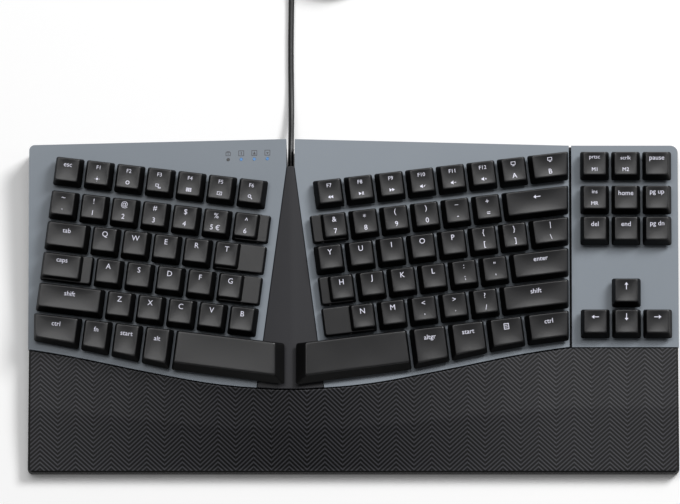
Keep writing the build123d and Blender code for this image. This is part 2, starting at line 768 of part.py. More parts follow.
def tent(outline, top):
    """A plan shape raised to a height above the decks, with the ridge over the split."""
    left_half = Pos(SPLIT_X - FAR / 2, 0, 0) * Box(FAR, FAR, 4 * TALL)
    nav_part = Pos(SEAM_X + FAR / 2, 0, 0) * Box(FAR, FAR, 4 * TALL)
    whole = prism(outline)
    left = whole & left_half & LEFT.below(top)
    nav = whole & nav_part & NAV.below(top)
    right = (whole - left_half - nav_part) & RIGHT.below(top)
    return left + right + nav


def wedge():
    """The black roof between the halves, on a rib that stands on the floor."""
    outline = wedge_outline()
    whole = prism(outline) & LEFT.below(0) & RIGHT.below(0)
    roof = whole - (prism(outline) & LEFT.below(-SKIRT_WALL) & RIGHT.below(-SKIRT_WALL))
    rib = Pos(SPLIT_X, BACK_Y - RIB_BACK, 0) * Box(*RIB_SIZE, 4 * TALL)
    end_skirt = Pos(SPLIT_X, NOTCH_Y, 0) * Box(FAR, 2 * SKIRT_WALL, 4 * TALL)
    end_skirt = whole & end_skirt & LEFT.slab(0, -SKIRT_HEIGHT) & RIGHT.slab(0, -SKIRT_HEIGHT)
    stand = Pos(0, 0, FLOOR_TOP) * Box(FAR, FAR, TALL, align=(Align.CENTER, Align.CENTER, Align.MIN))
    return roof + (whole & rib & stand) + end_skirt


def bottom_case():
    """The floor and walls, with the bosses, the pockets of the flip feet and the hole for the grommet."""
    floor = prism(CASE_OUTLINE, FOOT_HEIGHT, FLOOR_TOP)
    inner = shrunk(CASE_OUTLINE, CASE_WALL)
    ring = prism(CASE_OUTLINE) - prism(inner)
    palm = Pos(0, BACK_Y - PALM_LINE[-1] - FAR / 2, 0) * Box(WIDTH * 2, FAR, 4 * TALL)
    walls = ring - palm
    top = -SKIRT_HEIGHT - PARTING_GAP
    case = floor + (walls & tent(CASE_OUTLINE, top) & prism(CASE_OUTLINE, FLOOR_TOP - 0.5, TALL))
    bores = []
    head = SCREW_HEAD[0] + 2 * SCREW_CLEARANCE
    for name in DECKS:
        for x, y, z in boss_points(name):
            high = z - BOSS_DEPTH - BOSS_GAP
            case += rod(x, y, head + 2.4, FOOT_HEIGHT + 0.5, high)
            bores.append(rod(x, y, SCREW_DIAMETER + 2 * SCREW_CLEARANCE, 0, high))
            bores.append(rod(x, y, head, 0, high - SCREW_SEAT))
    for x, y in PALM_SCREWS:
        bores.append(rod(x, y, SCREW_DIAMETER + 2 * SCREW_CLEARANCE, 0, FLOOR_TOP))
        bores.append(rod(x, y, head, 0, FOOT_HEIGHT + SCREW_HEAD[1]))
    for x in (-FLIP_FOOT_X, FLIP_FOOT_X):
        case += pocket(x, FLIP_CLEARANCE + CASE_WALL, FLIP_ROOF)
        bores.append(pocket(x, FLIP_CLEARANCE, 0))
        pin = FLIP_FOOT_SIZE[0] + 2 * (FLIP_PIN_LENGTH + FLIP_CLEARANCE)
        bores.append(cross_pin(x, FLIP_PIN + 2 * FLIP_PIN_CLEARANCE, pin))
    for x, y in foot_places():
        bores.append(Pos(x, y, FOOT_HEIGHT + FOOT_RECESS - 2) * Box(*FOOT_PAD, 4))
    for x, y in controller_corners():
        case += rod(x, y, CONTROLLER_POST[0], FLOOR_TOP - 0.5, FLOOR_TOP + CONTROLLER_POST[1])
    hole = GROMMET_NECK + 2 * GROMMET_CLEARANCE
    bores.append(Pos(SPLIT_X, NOTCH_Y, EXIT_HEIGHT) * Rot(X=90) * Cylinder(hole / 2, 4 * CASE_WALL))
    return case - bores


def flip_axis_height():
    return FOOT_HEIGHT + FLIP_RECESS + FLIP_FOOT_SIZE[2] / 2


def pocket(x, room, roof):
    """The space round a flip foot, or with its walls and roof the box that holds it."""
    width, length, thickness = FLIP_FOOT_SIZE
    back = FLIP_AXIS_Y + thickness / 2 + room
    front = FLIP_AXIS_Y + thickness / 2 - length - room
    high = flip_axis_height() + thickness / 2 + FLIP_CLEARANCE + roof
    low = FOOT_HEIGHT if roof else 0
    shape = Box(width + 2 * room, back - front, high - low)
    return Pos(x, (back + front) / 2, (high + low) / 2) * shape


def cross_pin(x, diameter, length):
    return Pos(x, FLIP_AXIS_Y, flip_axis_height()) * Rot(Y=90) * Cylinder(diameter / 2, length)


def flip_foot(x):
    """A foot folded into its pocket, on two short pins in line with its back edge."""
    width, length, thickness = FLIP_FOOT_SIZE
    body = length - thickness / 2
    arm = Pos(x, FLIP_AXIS_Y - body / 2, flip_axis_height()) * Box(width, body, thickness)
    under = flip_axis_height() - thickness / 2
    grip = Pos(x, FLIP_AXIS_Y - body, under) * Rot(Y=90) * Cylinder(1.5, width / 3)
    return arm + cross_pin(x, thickness, width) + cross_pin(x, FLIP_PIN, width + 2 * FLIP_PIN_LENGTH) - grip


def foot_places():
    """The middles of the rubber feet."""
    front, back, side = FRONT_Y + FOOT_FRONT, BACK_Y - FOOT_BACK, HALF_WIDTH - FOOT_SIDE
    places = [(-side, front), (side, front), (SPLIT_X, front)]
    return places + [(-BACK_FOOT_X, back), (BACK_FOOT_X, back), (SPLIT_X, (front + back) / 2 - 5.5)]


def controller_corners():
    half_x, half_y = CONTROLLER_SIZE[0] / 2 - 4, CONTROLLER_SIZE[1] / 2 - 4
    return [(SPLIT_X + sx * half_x, CONTROLLER_Y + sy * half_y) for sx in (-1, 1) for sy in (-1, 1)]


def controller():
    """The main board with its chip, the lead's connector and the short inner stretch of the lead."""
    low = FLOOR_TOP + CONTROLLER_POST[1]
    high = low + CONTROLLER_SIZE[2]
    made = [Pos(SPLIT_X, CONTROLLER_Y, (low + high) / 2) * Box(*CONTROLLER_SIZE)]
    made.append(Pos(SPLIT_X - 14, CONTROLLER_Y, high + CONTROLLER_CHIP[2] / 2) * Box(*CONTROLLER_CHIP))
    width, length, _ = CONNECTOR_SIZE
    end = CONTROLLER_Y + CONTROLLER_SIZE[1] / 2
    made.append(block(SPLIT_X, end - length / 2, width, length, high, high + CONNECTOR_SIZE[2]))
    inside = NOTCH_Y - CASE_WALL - GROMMET_FLANGE[1]
    stub = Cylinder(CORD_DIAMETER / 2, inside - end)
    made.append(Pos(SPLIT_X, (inside + end) / 2, EXIT_HEIGHT) * Rot(X=90) * stub)
    return made


def grommet():
    """The rubber sleeve that holds the lead in the end wall of the notch, tapering to the lead outside."""
    flange, thick = GROMMET_FLANGE
    near, far, length = GROMMET_BOOT
    wall = CASE_WALL
    profile = Polyline(
        (0, -thick),
        (flange / 2, -thick),
        (flange / 2, 0),
        (GROMMET_NECK / 2, 0),
        (near / 2, wall),
        (far / 2, wall + length),
        (0, wall + length),
        close=True,
    )
    solid = revolve(make_face(Plane.XZ * profile), Axis.Z)
    return Pos(SPLIT_X, NOTCH_Y - wall, EXIT_HEIGHT) * Rot(X=-90) * solid


def light(x, y):
    z = LEFT.height(x, y)
    flange, thick = LIGHT_FLANGE
    low = z - DECK_THICKNESS - 0.4
    pipe = rod(x, y, LIGHT_DIAMETER, z - LIGHT_LENGTH, z + 0.1)
    return pipe + rod(x, y, flange, low - thick, low)


def screw(x, y, bearing):
    """A screw pointing up, with its head under the bearing height."""
    head, thick = SCREW_HEAD
    socket = Pos(x, y, bearing - thick) * extrude(RegularPolygon(1.2, 6), 0.9)
    shank = rod(x, y, SCREW_DIAMETER, bearing, bearing + SCREW_LENGTH)
    return rod(x, y, head, bearing - thick, bearing) + shank - socket


def screws():
    made = []
    for name in DECKS:
        for x, y, z in boss_points(name):
            made.append(screw(x, y, z - BOSS_DEPTH - BOSS_GAP - SCREW_SEAT))
    return made + [screw(x, y, FOOT_HEIGHT + SCREW_HEAD[1]) for x, y in PALM_SCREWS]


def palm_outline():
    """The plan of the palm rest, in front of the decks."""
    w = HALF_WIDTH - PALM_SIDE_INSET
    half = WEDGE_FRONT_HALF
    places = [-w, SPLIT_X - half, SPLIT_X + half, SEAM_X]
    curves = [front_curve(a, b, PALM_LINE_GAP) for a, b in zip(places, places[1:])]
    last = curves[-1] @ 1
    side = Polyline(last, (w, last.Y), (w, FRONT_Y), (-w, FRONT_Y), curves[0] @ 0)
    arcs = [arc for curve in curves for arc in curve.edges()]
    return rounded(closed(*arcs, *side.edges()), [(w, FRONT_Y, FRONT_RADIUS), (-w, FRONT_Y, FRONT_RADIUS)])


def palm_section(x, drop, low):
    """An upright slice through the palm rest, drawn in by drop at its top and front, flat below."""
    edge = palm_line(x)
    back = BACK_Y - edge
    high = deck_height(x, back) - PALM_BACK_DROP
    front, nose = FRONT_Y + drop, PALM_FRONT_HEIGHT
    start = front + PALM_EDGE_ROUND
    middle = (start + back) / 2
    crown = (nose + high) / 2 + PALM_CROWN
    rise = (high - crown) / (back - middle)
    over = back + PALM_OVERRUN
    points = [
        (front, low),
        (front, nose - PALM_EDGE_ROUND - drop),
        (start, nose - drop),
        (middle, crown - drop),
        (over, high + rise * PALM_OVERRUN - drop),
        (over, low),
    ]
    upright = Plane(origin=(x, 0, 0), x_dir=(0, 1, 0), z_dir=(1, 0, 0))
    return upright * make_face(Polyline(*points, close=True))


def palm_stations():
    """Where the palm rest is sliced: at places to each side of the ridge, at the seam and at the ends."""
    reach = (12.0, 30.0, 60.0, 90.0, 120.0, 150.0)
    steps = [SPLIT_X + side * across for side in (-1, 1) for across in reach]
    return sorted([-HALF_WIDTH, SPLIT_X, SEAM_X, HALF_WIDTH, *steps])


def palm_solid(drop, low):
    sections = [palm_section(x, drop, low) for x in palm_stations()]
    return loft(sections, ruled=True)


def palm_rest():
    """The padded top and the moulded tray under it, hollow below with a boss over each screw."""
    plan = prism(palm_outline())
    pad = (palm_solid(0, FLOOR_TOP + PAD_FLOOR_GAP) - palm_solid(PAD_THICKNESS, 0)) & plan
    tray = palm_solid(PAD_THICKNESS + PAD_GAP, FLOOR_TOP) & plan
    hollow = palm_solid(PAD_THICKNESS + PAD_GAP + PALM_SHELL, 0) & prism(shrunk(palm_outline(), PALM_SHELL))
    for x, y in PALM_SCREWS:
        hollow -= rod(x, y, 2 * BOSS_DIAMETER, 0, TALL)
    tray -= hollow
    return pad, tray - [rod(x, y, SCREW_DIAMETER, 0, FLOOR_TOP + SCREW_LENGTH - 0.7) for x, y in PALM_SCREWS]


def cord_tube(route):
    """A tube along a route of straight runs joined by arcs, and the radii of those arcs."""
    points = [Vector(*p) for p in route]
    runs = [(b - a).length for a, b in zip(points, points[1:])]
    radii = []
    for n in range(1, len(points) - 1):
        turn = math.radians((points[n] - points[n - 1]).get_angle(points[n + 1] - points[n]))
        radii.append(ARC_SHARE * min(runs[n - 1], runs[n]) / math.tan(turn / 2))
    spine = FilletPolyline(*points, radius=radii)
    section = Plane(spine @ 0, z_dir=spine % 0) * Circle(CORD_DIAMETER / 2)
    tube = sweep(section, spine)
    area = math.pi * CORD_DIAMETER**2 / 4
    share = tube.volume / (area * spine.length)
    print("cord radii", [round(r, 1) for r in radii], "volume share", round(share, 4))
    return tube, spine.length


def coil_stops():
    """The ends of the coil's half turns: in for a layer, up on its last one, out for the next, and so on."""
    centre_x = COIL_START[0] + COIL_OUTER_RADIUS
    radius, height, turned, direction = COIL_OUTER_RADIUS, COIL_BOTTOM, 0, -1
    stops = [(turned, radius, height)]
    for layer in range(COIL_LAYERS):
        last = layer == COIL_LAYERS - 1
        for turn in range(COIL_LAST_HALF_TURNS if last else COIL_HALF_TURNS):
            over_the_rise = layer > 0 and turn == 0
            radius += direction * COIL_STEP * (1.0 if over_the_rise else 0.5)
            turned += 1
            stops.append((turned, radius, height))
        if not last:
            radius += direction * COIL_STEP / 2
            height += COIL_STEP
            turned += 1
            stops.append((turned, radius, height))
        direction = -direction
    points = []
    for turned, radius, height in stops:
        side = -1 if turned % 2 == 0 else 1
        points.append(Vector(centre_x + side * radius, COIL_START[1], height))
    return points


def half_turn(start, end, heading):
    """Two arcs that leave one point and reach the other with opposite headings."""
    reach = (end - start).length / 2
    middle = (start + end) * 0.5 + heading * reach
    first = TangentArc(start, middle, tangent=heading)
    return [first, TangentArc(middle, end, tangent=first % 1)]


def coil():
    """The put-away length of the lead, wound in layers, with a straight end towards each free stretch."""
    stops = coil_stops()
    heading = Vector(0, 1, 0)
    edges = [Line(stops[0] - heading * CORD_DIAMETER, stops[0])]
    for start, end in zip(stops, stops[1:]):
        edges += half_turn(start, end, heading)
        heading = -heading
    leave = stops[-1] + Vector(COIL_END_RADIUS, COIL_END_RADIUS, 0)
    edges.append(TangentArc(stops[-1], leave, tangent=heading))
    edges.append(Line(leave, leave + Vector(CORD_DIAMETER, 0, 0)))
    spine = Wire(edges)
    section = Plane(spine @ 0, z_dir=spine % 0) * Circle(CORD_DIAMETER / 2)
    tube = sweep(section, spine)
    print("coil ends at", [round(c, 2) for c in spine @ 1], "length", round(spine.length, 1))
    print("coil volume share", round(tube.volume / (math.pi * CORD_DIAMETER**2 / 4 * spine.length), 4))
    print("coil least gap", round(least_gap(spine), 3))
    return tube


def least_gap(spine):
    """The least gap between two turns of a wound tube, measured on points along its middle."""
    count = int(spine.length / 1.5)
    points = [spine.position_at(n / count) for n in range(count + 1)]
    apart = int(4 * CORD_DIAMETER / 1.5)
    gaps = [
        (points[a] - points[b]).length
        for a in range(len(points))
        for b in range(a + apart, len(points))
        if abs(points[a].X - points[b].X) < 6 and abs(points[a].Y - points[b].Y) < 6
    ]
    return min(gaps) - CORD_DIAMETER


def tie():
    """The band round the coil, a closed strap across all its turns on one side."""
    inner = COIL_OUTER_RADIUS - (COIL_HALF_TURNS * COIL_STEP + CORD_DIAMETER) / 2 - TIE_BEND_ROOM
    outer = COIL_OUTER_RADIUS + CORD_DIAMETER / 2 + TIE_GAP
    middle_x = COIL_START[0] + COIL_OUTER_RADIUS + (inner + outer) / 2
    width = outer - inner
    height = (COIL_LAYERS - 1) * COIL_STEP + CORD_DIAMETER + 2 * TIE_GAP
    middle_z = COIL_BOTTOM + (COIL_LAYERS - 1) * COIL_STEP / 2
    wall = 2 * TIE_THICKNESS
    band = Box(width + wall, TIE_WIDTH, height + wall) - Box(width, TIE_WIDTH, height)
    return Pos(middle_x, COIL_START[1], middle_z) * band


def plug():
    """The USB plug on the lead's end: a tapered relief, a moulded grip and the shell with its tongue."""
    x, y, z = TAIL_ROUTE[-1]
    relief_length, relief_end = PLUG_RELIEF
    start = Plane(origin=(x, y, z), z_dir=(1, 0, 0))
    relief = loft([start * Circle(CORD_DIAMETER / 2), start.offset(relief_length) * Circle(relief_end / 2)])
    length, width, height = PLUG_GRIP
    grip_x = x + relief_length
    grip = Pos(grip_x + length / 2, y, z) * Box(length, width, height)
    grip = fillet(grip.edges().filter_by(Axis.X), PLUG_GRIP_RADIUS)
    shell_length, shell_width, shell_height = PLUG_SHELL
    shell_x = grip_x + length
    shell = Pos(shell_x + shell_length / 2, y, z) * Box(*PLUG_SHELL)
    inner = (shell_length, shell_width - 2 * PLUG_SHELL_WALL, shell_height - 2 * PLUG_SHELL_WALL)
    shell -= Pos(shell_x + shell_length / 2, y, z) * Box(*inner)
    tongue_length, tongue_width, tongue_height = PLUG_TONGUE
    drop = (inner[2] - tongue_height) / 2
    tongue = Pos(shell_x + tongue_length / 2, y, z - drop) * Box(tongue_length, tongue_width, tongue_height)
    return [relief + grip, shell, tongue]


def write(name, shapes):
    """Writes one sub-part as a STEP file, its separate solids together."""
    solids = [solid for shape in shapes for solid in shape.solids()]
    whole = solids[0] if len(solids) == 1 else Compound(children=solids)
    whole.label = name
    export_step(whole, f"parts/{name}.step")


def main():
    os.makedirs("parts", exist_ok=True)
    for name in DECKS:
        write(f"{name}_cover", [cover(name)])
    write("centre_wedge", [wedge()])
    write("bottom_case", [bottom_case()])
    pad, tray = palm_rest()
    write("palm_rest_pad", [pad])
    write("palm_rest_base", [tray])
    hole = SWITCH_SIZE + CUT_CLEARANCE
    plates = [sheet(name, PLATE_TOP, PLATE_THICKNESS, hole, GUIDE_SIZE) for name in DECKS]
    write("switch_plates", plates)
    write("circuit_boards", [board(name) for name in DECKS])
    base, top = switch_base(), switch_top()
    places = [key.deck.frame * Pos(*key.centre(), 0) for key in ALL_KEYS]
    write("switch_bases", [place * base for place in places])
    write("switch_tops", [place * top for place in places])
    write("stabiliser_guides", guides())
    for name, keys in KEYS.items():
        shapes = []
        for key in keys:
            shapes += [key.deck.frame * keycap(key), key.deck.frame * slider(key)]
            if key.wide:
                shapes.append(key.deck.frame * stabiliser_wire(key))
        write(name, shapes)
    write("status_lights", [light(x, y) for x, y in light_places()])
    write("controller_board", controller())
    write("cable_grommet", [grommet()])
    pad_height = FOOT_HEIGHT + FOOT_RECESS
    feet = [Pos(x, y, pad_height / 2) * Box(*FOOT_PAD, pad_height) for x, y in foot_places()]
    write("rubber_feet", feet)
    write("flip_foot_left", [flip_foot(-FLIP_FOOT_X)])
    write("flip_foot_right", [flip_foot(FLIP_FOOT_X)])
    write("case_screws", screws())
    lead, lead_length = cord_tube(LEAD_ROUTE)
    tail, tail_length = cord_tube(TAIL_ROUTE)
    write("cable_lead", [lead])
    write("cable_coil", [coil()])
    write("cable_tail", [tail])
    print("lead and tail", round(lead_length, 1), round(tail_length, 1))
    write("cable_tie", [tie()])
    write("usb_plug", plug())


if __name__ == "__main__":
    main()
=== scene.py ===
import json
import math

import bmesh
import bpy
from mathutils import Matrix, Vector
from mathutils.bvhtree import BVHTree
from mathutils.geometry import convex_hull_2d


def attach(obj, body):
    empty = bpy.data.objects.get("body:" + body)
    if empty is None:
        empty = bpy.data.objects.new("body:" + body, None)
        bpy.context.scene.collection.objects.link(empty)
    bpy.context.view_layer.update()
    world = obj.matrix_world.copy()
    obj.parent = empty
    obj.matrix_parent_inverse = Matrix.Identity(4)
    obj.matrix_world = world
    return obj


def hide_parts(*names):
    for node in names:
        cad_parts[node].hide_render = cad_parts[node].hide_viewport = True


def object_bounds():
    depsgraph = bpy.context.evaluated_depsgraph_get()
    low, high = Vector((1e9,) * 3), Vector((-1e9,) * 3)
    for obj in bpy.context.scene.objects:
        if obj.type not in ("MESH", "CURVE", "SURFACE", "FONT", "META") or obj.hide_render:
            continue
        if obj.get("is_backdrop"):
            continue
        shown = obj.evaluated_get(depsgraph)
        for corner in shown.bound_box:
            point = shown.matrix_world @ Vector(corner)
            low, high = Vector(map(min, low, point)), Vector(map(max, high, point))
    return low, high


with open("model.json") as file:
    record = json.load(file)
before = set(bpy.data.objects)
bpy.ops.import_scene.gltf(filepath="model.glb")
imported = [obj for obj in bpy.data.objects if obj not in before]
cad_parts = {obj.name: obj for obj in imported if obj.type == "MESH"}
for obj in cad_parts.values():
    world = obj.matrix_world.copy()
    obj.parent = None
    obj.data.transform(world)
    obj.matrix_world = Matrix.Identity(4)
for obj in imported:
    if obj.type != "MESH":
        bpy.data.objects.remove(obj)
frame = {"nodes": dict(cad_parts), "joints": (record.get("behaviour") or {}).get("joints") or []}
cad_box = [list(corner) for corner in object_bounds()]
nodes = frame["nodes"]


def placed(name, data):
    """A new object in the scene."""
    made = bpy.data.objects.new(name, data)
    bpy.context.scene.collection.objects.link(made)
    return made


def smooth(data, degrees):
    """Shades a mesh smooth, apart from the edges where it bends by more than this."""
    for face in data.polygons:
        face.use_smooth = True
    data.set_sharp_from_angle(angle=math.radians(degrees))


# The camera looks down on the keyboard from high above its front edge, through a long lens. A wide softbox
# hangs above and behind, and a large one on the right and behind throws the soft shadow to the left.
camera = placed("camera", bpy.data.cameras.new("camera"))
camera.data.sensor_width = 36.0
camera.data.lens = 292.26
camera.data.clip_end = 20.0
camera.location = (-0.0083, -0.5580, 3.3459)
camera.rotation_euler = (math.radians(10.097), 0.0, 0.0)
bpy.context.scene.camera = camera
bpy.context.scene.view_settings.view_transform = "Standard"


def softbox(name, place, size, watts):
    """A rectangular lamp that faces the middle of the keyboard."""
    lamp = bpy.data.lights.new(name, "AREA")
    lamp.shape, lamp.energy = "RECTANGLE", watts
    lamp.size, lamp.size_y = size
    holder = placed(name, lamp)
    holder.location = place
    holder.rotation_euler = (-Vector(place)).to_track_quat("-Z", "Y").to_euler()


softbox("overhead", (-0.5, 1.25, 3.45), (3.4, 1.7), 58.0)
softbox("key", (1.9, 1.9, 2.6), (1.3, 1.3), 104.0)

world = bpy.data.worlds.new("room")
world.use_nodes = True
world.node_tree.nodes["Background"].inputs["Color"].default_value = (1.0, 1.0, 1.0, 1.0)
world.node_tree.nodes["Background"].inputs["Strength"].default_value = 0.10
bpy.context.scene.world = world


class Signal:
    """An output of a material's nodes. Arithmetic on it adds Math nodes."""

    def __init__(self, tree, out):
        self.tree, self.out = tree, out

    def node(self, kind, settings=None, inputs=None, out=0):
        """A node of any kind: its settings are set first, then its sockets take numbers or other signals."""
        made = self.tree.nodes.new("ShaderNode" + kind)
        for key, value in (settings or {}).items():
            setattr(made, key, value)
        for key, value in (inputs or {}).items():
            if isinstance(value, Signal):
                self.tree.links.new(value.out, made.inputs[key])
            else:
                made.inputs[key].default_value = value
        return Signal(self.tree, made.outputs[out])

    def math(self, operation, *values):
        return self.node("Math", {"operation": operation}, dict(enumerate(values)))

    def __add__(self, other):
        return self.math("ADD", self, other)

    def __sub__(self, other):
        return self.math("SUBTRACT", self, other)

    def __rsub__(self, other):
        return self.math("SUBTRACT", other, self)

    def __mul__(self, other):
        return self.math("MULTIPLY", self, other)

    def __truediv__(self, other):
        return self.math("DIVIDE", self, other)

    __radd__, __rmul__ = __add__, __mul__

    def above(self, edge, soft):
        """0 below an edge and 1 above it, with a soft step between."""
        steps = {"Value": self, "From Min": edge - soft, "From Max": edge + soft}
        return self.node("MapRange", {"interpolation_type": "SMOOTHSTEP"}, steps)

    def grain(self, scale, detail=2.0):
        """Fine noise over a place, with so many features to the metre."""
        return self.node("TexNoise", {}, {"Vector": self, "Scale": scale, "Detail": detail})

    def axes(self):
        """The three numbers of a place."""
        split = self.node("SeparateXYZ", {}, {"Vector": self})
        outs = split.out.node.outputs
        return [Signal(self.tree, outs[n]) for n in range(3)]

    def mix(self, low, high):
        """A colour between two, by this share."""
        return self.node("Mix", {"data_type": "RGBA"}, {0: self, 6: low, 7: high}, out=2)

    def bumped(self, depth):
        """A normal from this height, which is 0 to 1 of a depth in metres."""
        return self.node("Bump", {}, {"Height": self, "Distance": depth, "Strength": 1.0})


def finish(name, paint):
    """A material. paint takes a place on the object in metres and gives what the shader's sockets take."""
    made = bpy.data.materials.new(name)
    made.use_nodes = True
    tree = made.node_tree
    place = Signal(tree, tree.nodes.new("ShaderNodeTexCoord").outputs["Object"])
    surface = tree.nodes["Principled BSDF"]
    for key, value in paint(place).items():
        if isinstance(value, Signal):
            tree.links.new(value.out, surface.inputs[key])
        else:
            surface.inputs[key].default_value = value
    return made


def grey(value, tint=1.15):
    """A colour from a shade of 0 to 255 as it should look on screen, with its blue raised by tint."""
    linear = (value / 255.0) ** 2.2
    return (linear, linear, linear * tint, 1.0)


# The desk top: a plain white sheet. Where the camera sees it, straight, by reflection or through something
# clear, it is lifted a little towards white, and it keeps the shadow.
desk = finish("desk_white", lambda place: {
    "Base Color": grey(250, 1.0),
    "Roughness": 0.9,
    "Specular IOR Level": 0.1,
})
tree = desk.node_tree
rays = tree.nodes.new("ShaderNodeLightPath").outputs
seen = Signal(tree, rays["Is Camera Ray"])
for kind in ("Is Glossy Ray", "Is Transmission Ray"):
    seen = seen.math("MAXIMUM", seen, Signal(tree, rays[kind]))
glow = seen.node("Emission", {}, {"Color": (1.0, 1.0, 1.0, 1.0), "Strength": 0.08})
lit = Signal(tree, tree.nodes["Principled BSDF"].outputs[0])
lifted = seen.node("AddShader", {}, {0: lit, 1: glow})
choice = seen.node("MixShader", {}, {0: seen, 1: lit, 2: lifted})
tree.links.new(choice.out, tree.nodes["Material Output"].inputs["Surface"])
sheet = bpy.data.meshes.new("desk")
sheet.from_pydata([(-6, -6, 0), (6, -6, 0), (6, 6, 0), (-6, 6, 0)], [], [(0, 1, 2, 3)])
sheet.materials.append(desk)
desk_top = placed("desk", sheet)
desk_top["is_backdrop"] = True

# The lead: a 1.8 m USB cord with a smooth black jacket. It runs straight back from the notch, and the length
# that isn't in use is wound into a small coil of four layers behind the keyboard, held by a flat band.
CORD = 0.0036
LEAD_POINTS = [
    (-0.0385, 0.0899, 0.0105),
    (-0.0385, 0.1020, 0.0105),
    (-0.0383, 0.1180, 0.0054),
    (-0.0384, 0.1360, 0.0019),
    (-0.0388, 0.1640, 0.0019),
    (-0.0384, 0.1920, 0.0021),
    (-0.0385, 0.2120, 0.0027),
    (-0.0385, 0.2274, 0.0027),
]
TAIL_POINTS = [
    (-0.00585, 0.2580, 0.0150),
    (0.0090, 0.2580, 0.0150),
    (0.0260, 0.2583, 0.0096),
    (0.0430, 0.2586, 0.0041),
    (0.0570, 0.2586, 0.0041),
]
COIL_START = Vector((-0.0385, 0.2310, 0.0027))
COIL_RADIUS, COIL_STEP, COIL_END_RADIUS = 0.028, 0.0041, 0.027
COIL_HALF_TURNS = (5, 5, 5, 4)
POINTS_PER_HALF_TURN = 8


def coil_points():
    """The coil's control points: half turns that go in for a layer, out for the next, and so on."""
    centre = COIL_START + Vector((COIL_RADIUS, 0.0, 0.0))
    stops = [COIL_START]
    radius, height, way, side = COIL_RADIUS, 0.0, -1, -1
    for layer, turns in enumerate(COIL_HALF_TURNS):
        last = layer == len(COIL_HALF_TURNS) - 1
        for turn in range(turns + (0 if last else 1)):
            over_the_rise = layer > 0 and turn == 0
            radius += way * COIL_STEP * (1.0 if over_the_rise else 0.5)
            height += COIL_STEP if turn == turns else 0.0
            side = -side
            stops.append(centre + Vector((side * radius, 0.0, height)))
        way = -way
    points, heading = [], Vector((0.0, 1.0, 0.0))
    step = math.pi / POINTS_PER_HALF_TURN
    for start, end in zip(stops, stops[1:]):
        middle, out = (start + end) / 2, (start - end) / 2
        for n in range(POINTS_PER_HALF_TURN):
            angle = (n + 0.5) * step
            reach = out * math.cos(angle) + heading * out.length * math.sin(angle)
            points.append(middle + reach / math.cos(step / 2))
        heading = -heading
    middle = stops[-1] + Vector((COIL_END_RADIUS, 0.0, 0.0))
    for n in range(POINTS_PER_HALF_TURN // 2):
        angle = (n + 0.5) * step
        reach = Vector((-math.cos(angle), math.sin(angle), 0.0)) * COIL_END_RADIUS
        points.append(middle + reach / math.cos(step / 2))
    return points


line = bpy.data.curves.new("cable", "CURVE")
line.dimensions, line.bevel_depth, line.bevel_resolution, line.use_fill_caps = "3D", CORD / 2, 4, True
line.resolution_u = 6
spline = line.splines.new("NURBS")
route = [Vector(p) for p in LEAD_POINTS] + coil_points() + [Vector(p) for p in TAIL_POINTS]
spline.points.add(len(route) - 1)
for point, where in zip(spline.points, route):
    point.co = (*where, 1.0)
spline.order_u = 3
spline.use_endpoint_u = True
cable = placed("cable", line)


def jacket(place):
    grain = place.grain(2600.0)
    return {
        "Base Color": grain.mix(grey(18), grey(28)),
        "Roughness": 0.34 + 0.1 * grain,
        "Specular IOR Level": 0.5,
        "Normal": grain.bumped(0.00004),
    }


cable_jacket = finish("cable_jacket", jacket)
line.materials.append(cable_jacket)
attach(cable, "keyboard")
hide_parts("cable_lead", "cable_coil", "cable_tail")


def dress(material, *names):
    """Gives a carried-over CAD piece its finish."""
    for name in names:
        data = nodes[name].data
        if not data.materials:
            data.materials.append(material)
        for slot in nodes[name].material_slots:
            slot.material = material


# The grommet, the band round the coil and the plug: a soft rubber sleeve in the notch, a ribbed
# hook-and-loop strap, and a moulded grip with a stamped steel shell.
PLUG_SHELL_X = 0.0890


def strap(place):
    ribs = place.axes()[1].math("PINGPONG", place.axes()[1], 0.0003) / 0.0003
    return {"Base Color": grey(24), "Roughness": 0.85, "Normal": ribs.bumped(0.00008)}


def moulded_plug(place):
    metal = place.axes()[0].above(PLUG_SHELL_X, 0.0001)
    grain = place.grain(3000.0)
    return {
        "Base Color": metal.mix(grey(34), grey(205)),
        "Metallic": metal,
        "Roughness": 0.5 - 0.22 * metal + 0.1 * grain,
        "Normal": grain.bumped(0.00003),
    }


dress(cable_jacket, "cable_grommet")
dress(finish("strap", strap), "cable_tie")
dress(finish("plug", moulded_plug), "usb_plug")


# The three decks: injection-moulded covers in a satin blue-grey, with a fine spark texture.
DECK_DARK, DECK_LIGHT = (0.205, 0.236, 0.272, 1.0), (0.262, 0.294, 0.332, 1.0)


def deck_plastic(place):
    spark = place.grain(3500.0, 3.0)
    cloud = place.grain(14.0)
    return {
        "Base Color": (0.35 * spark + 0.65 * cloud).mix(DECK_DARK, DECK_LIGHT),
        "Roughness": 0.4 + 0.16 * spark,
        "Normal": spark.bumped(0.00003),
    }


deck_grey = finish("deck_grey", deck_plastic)


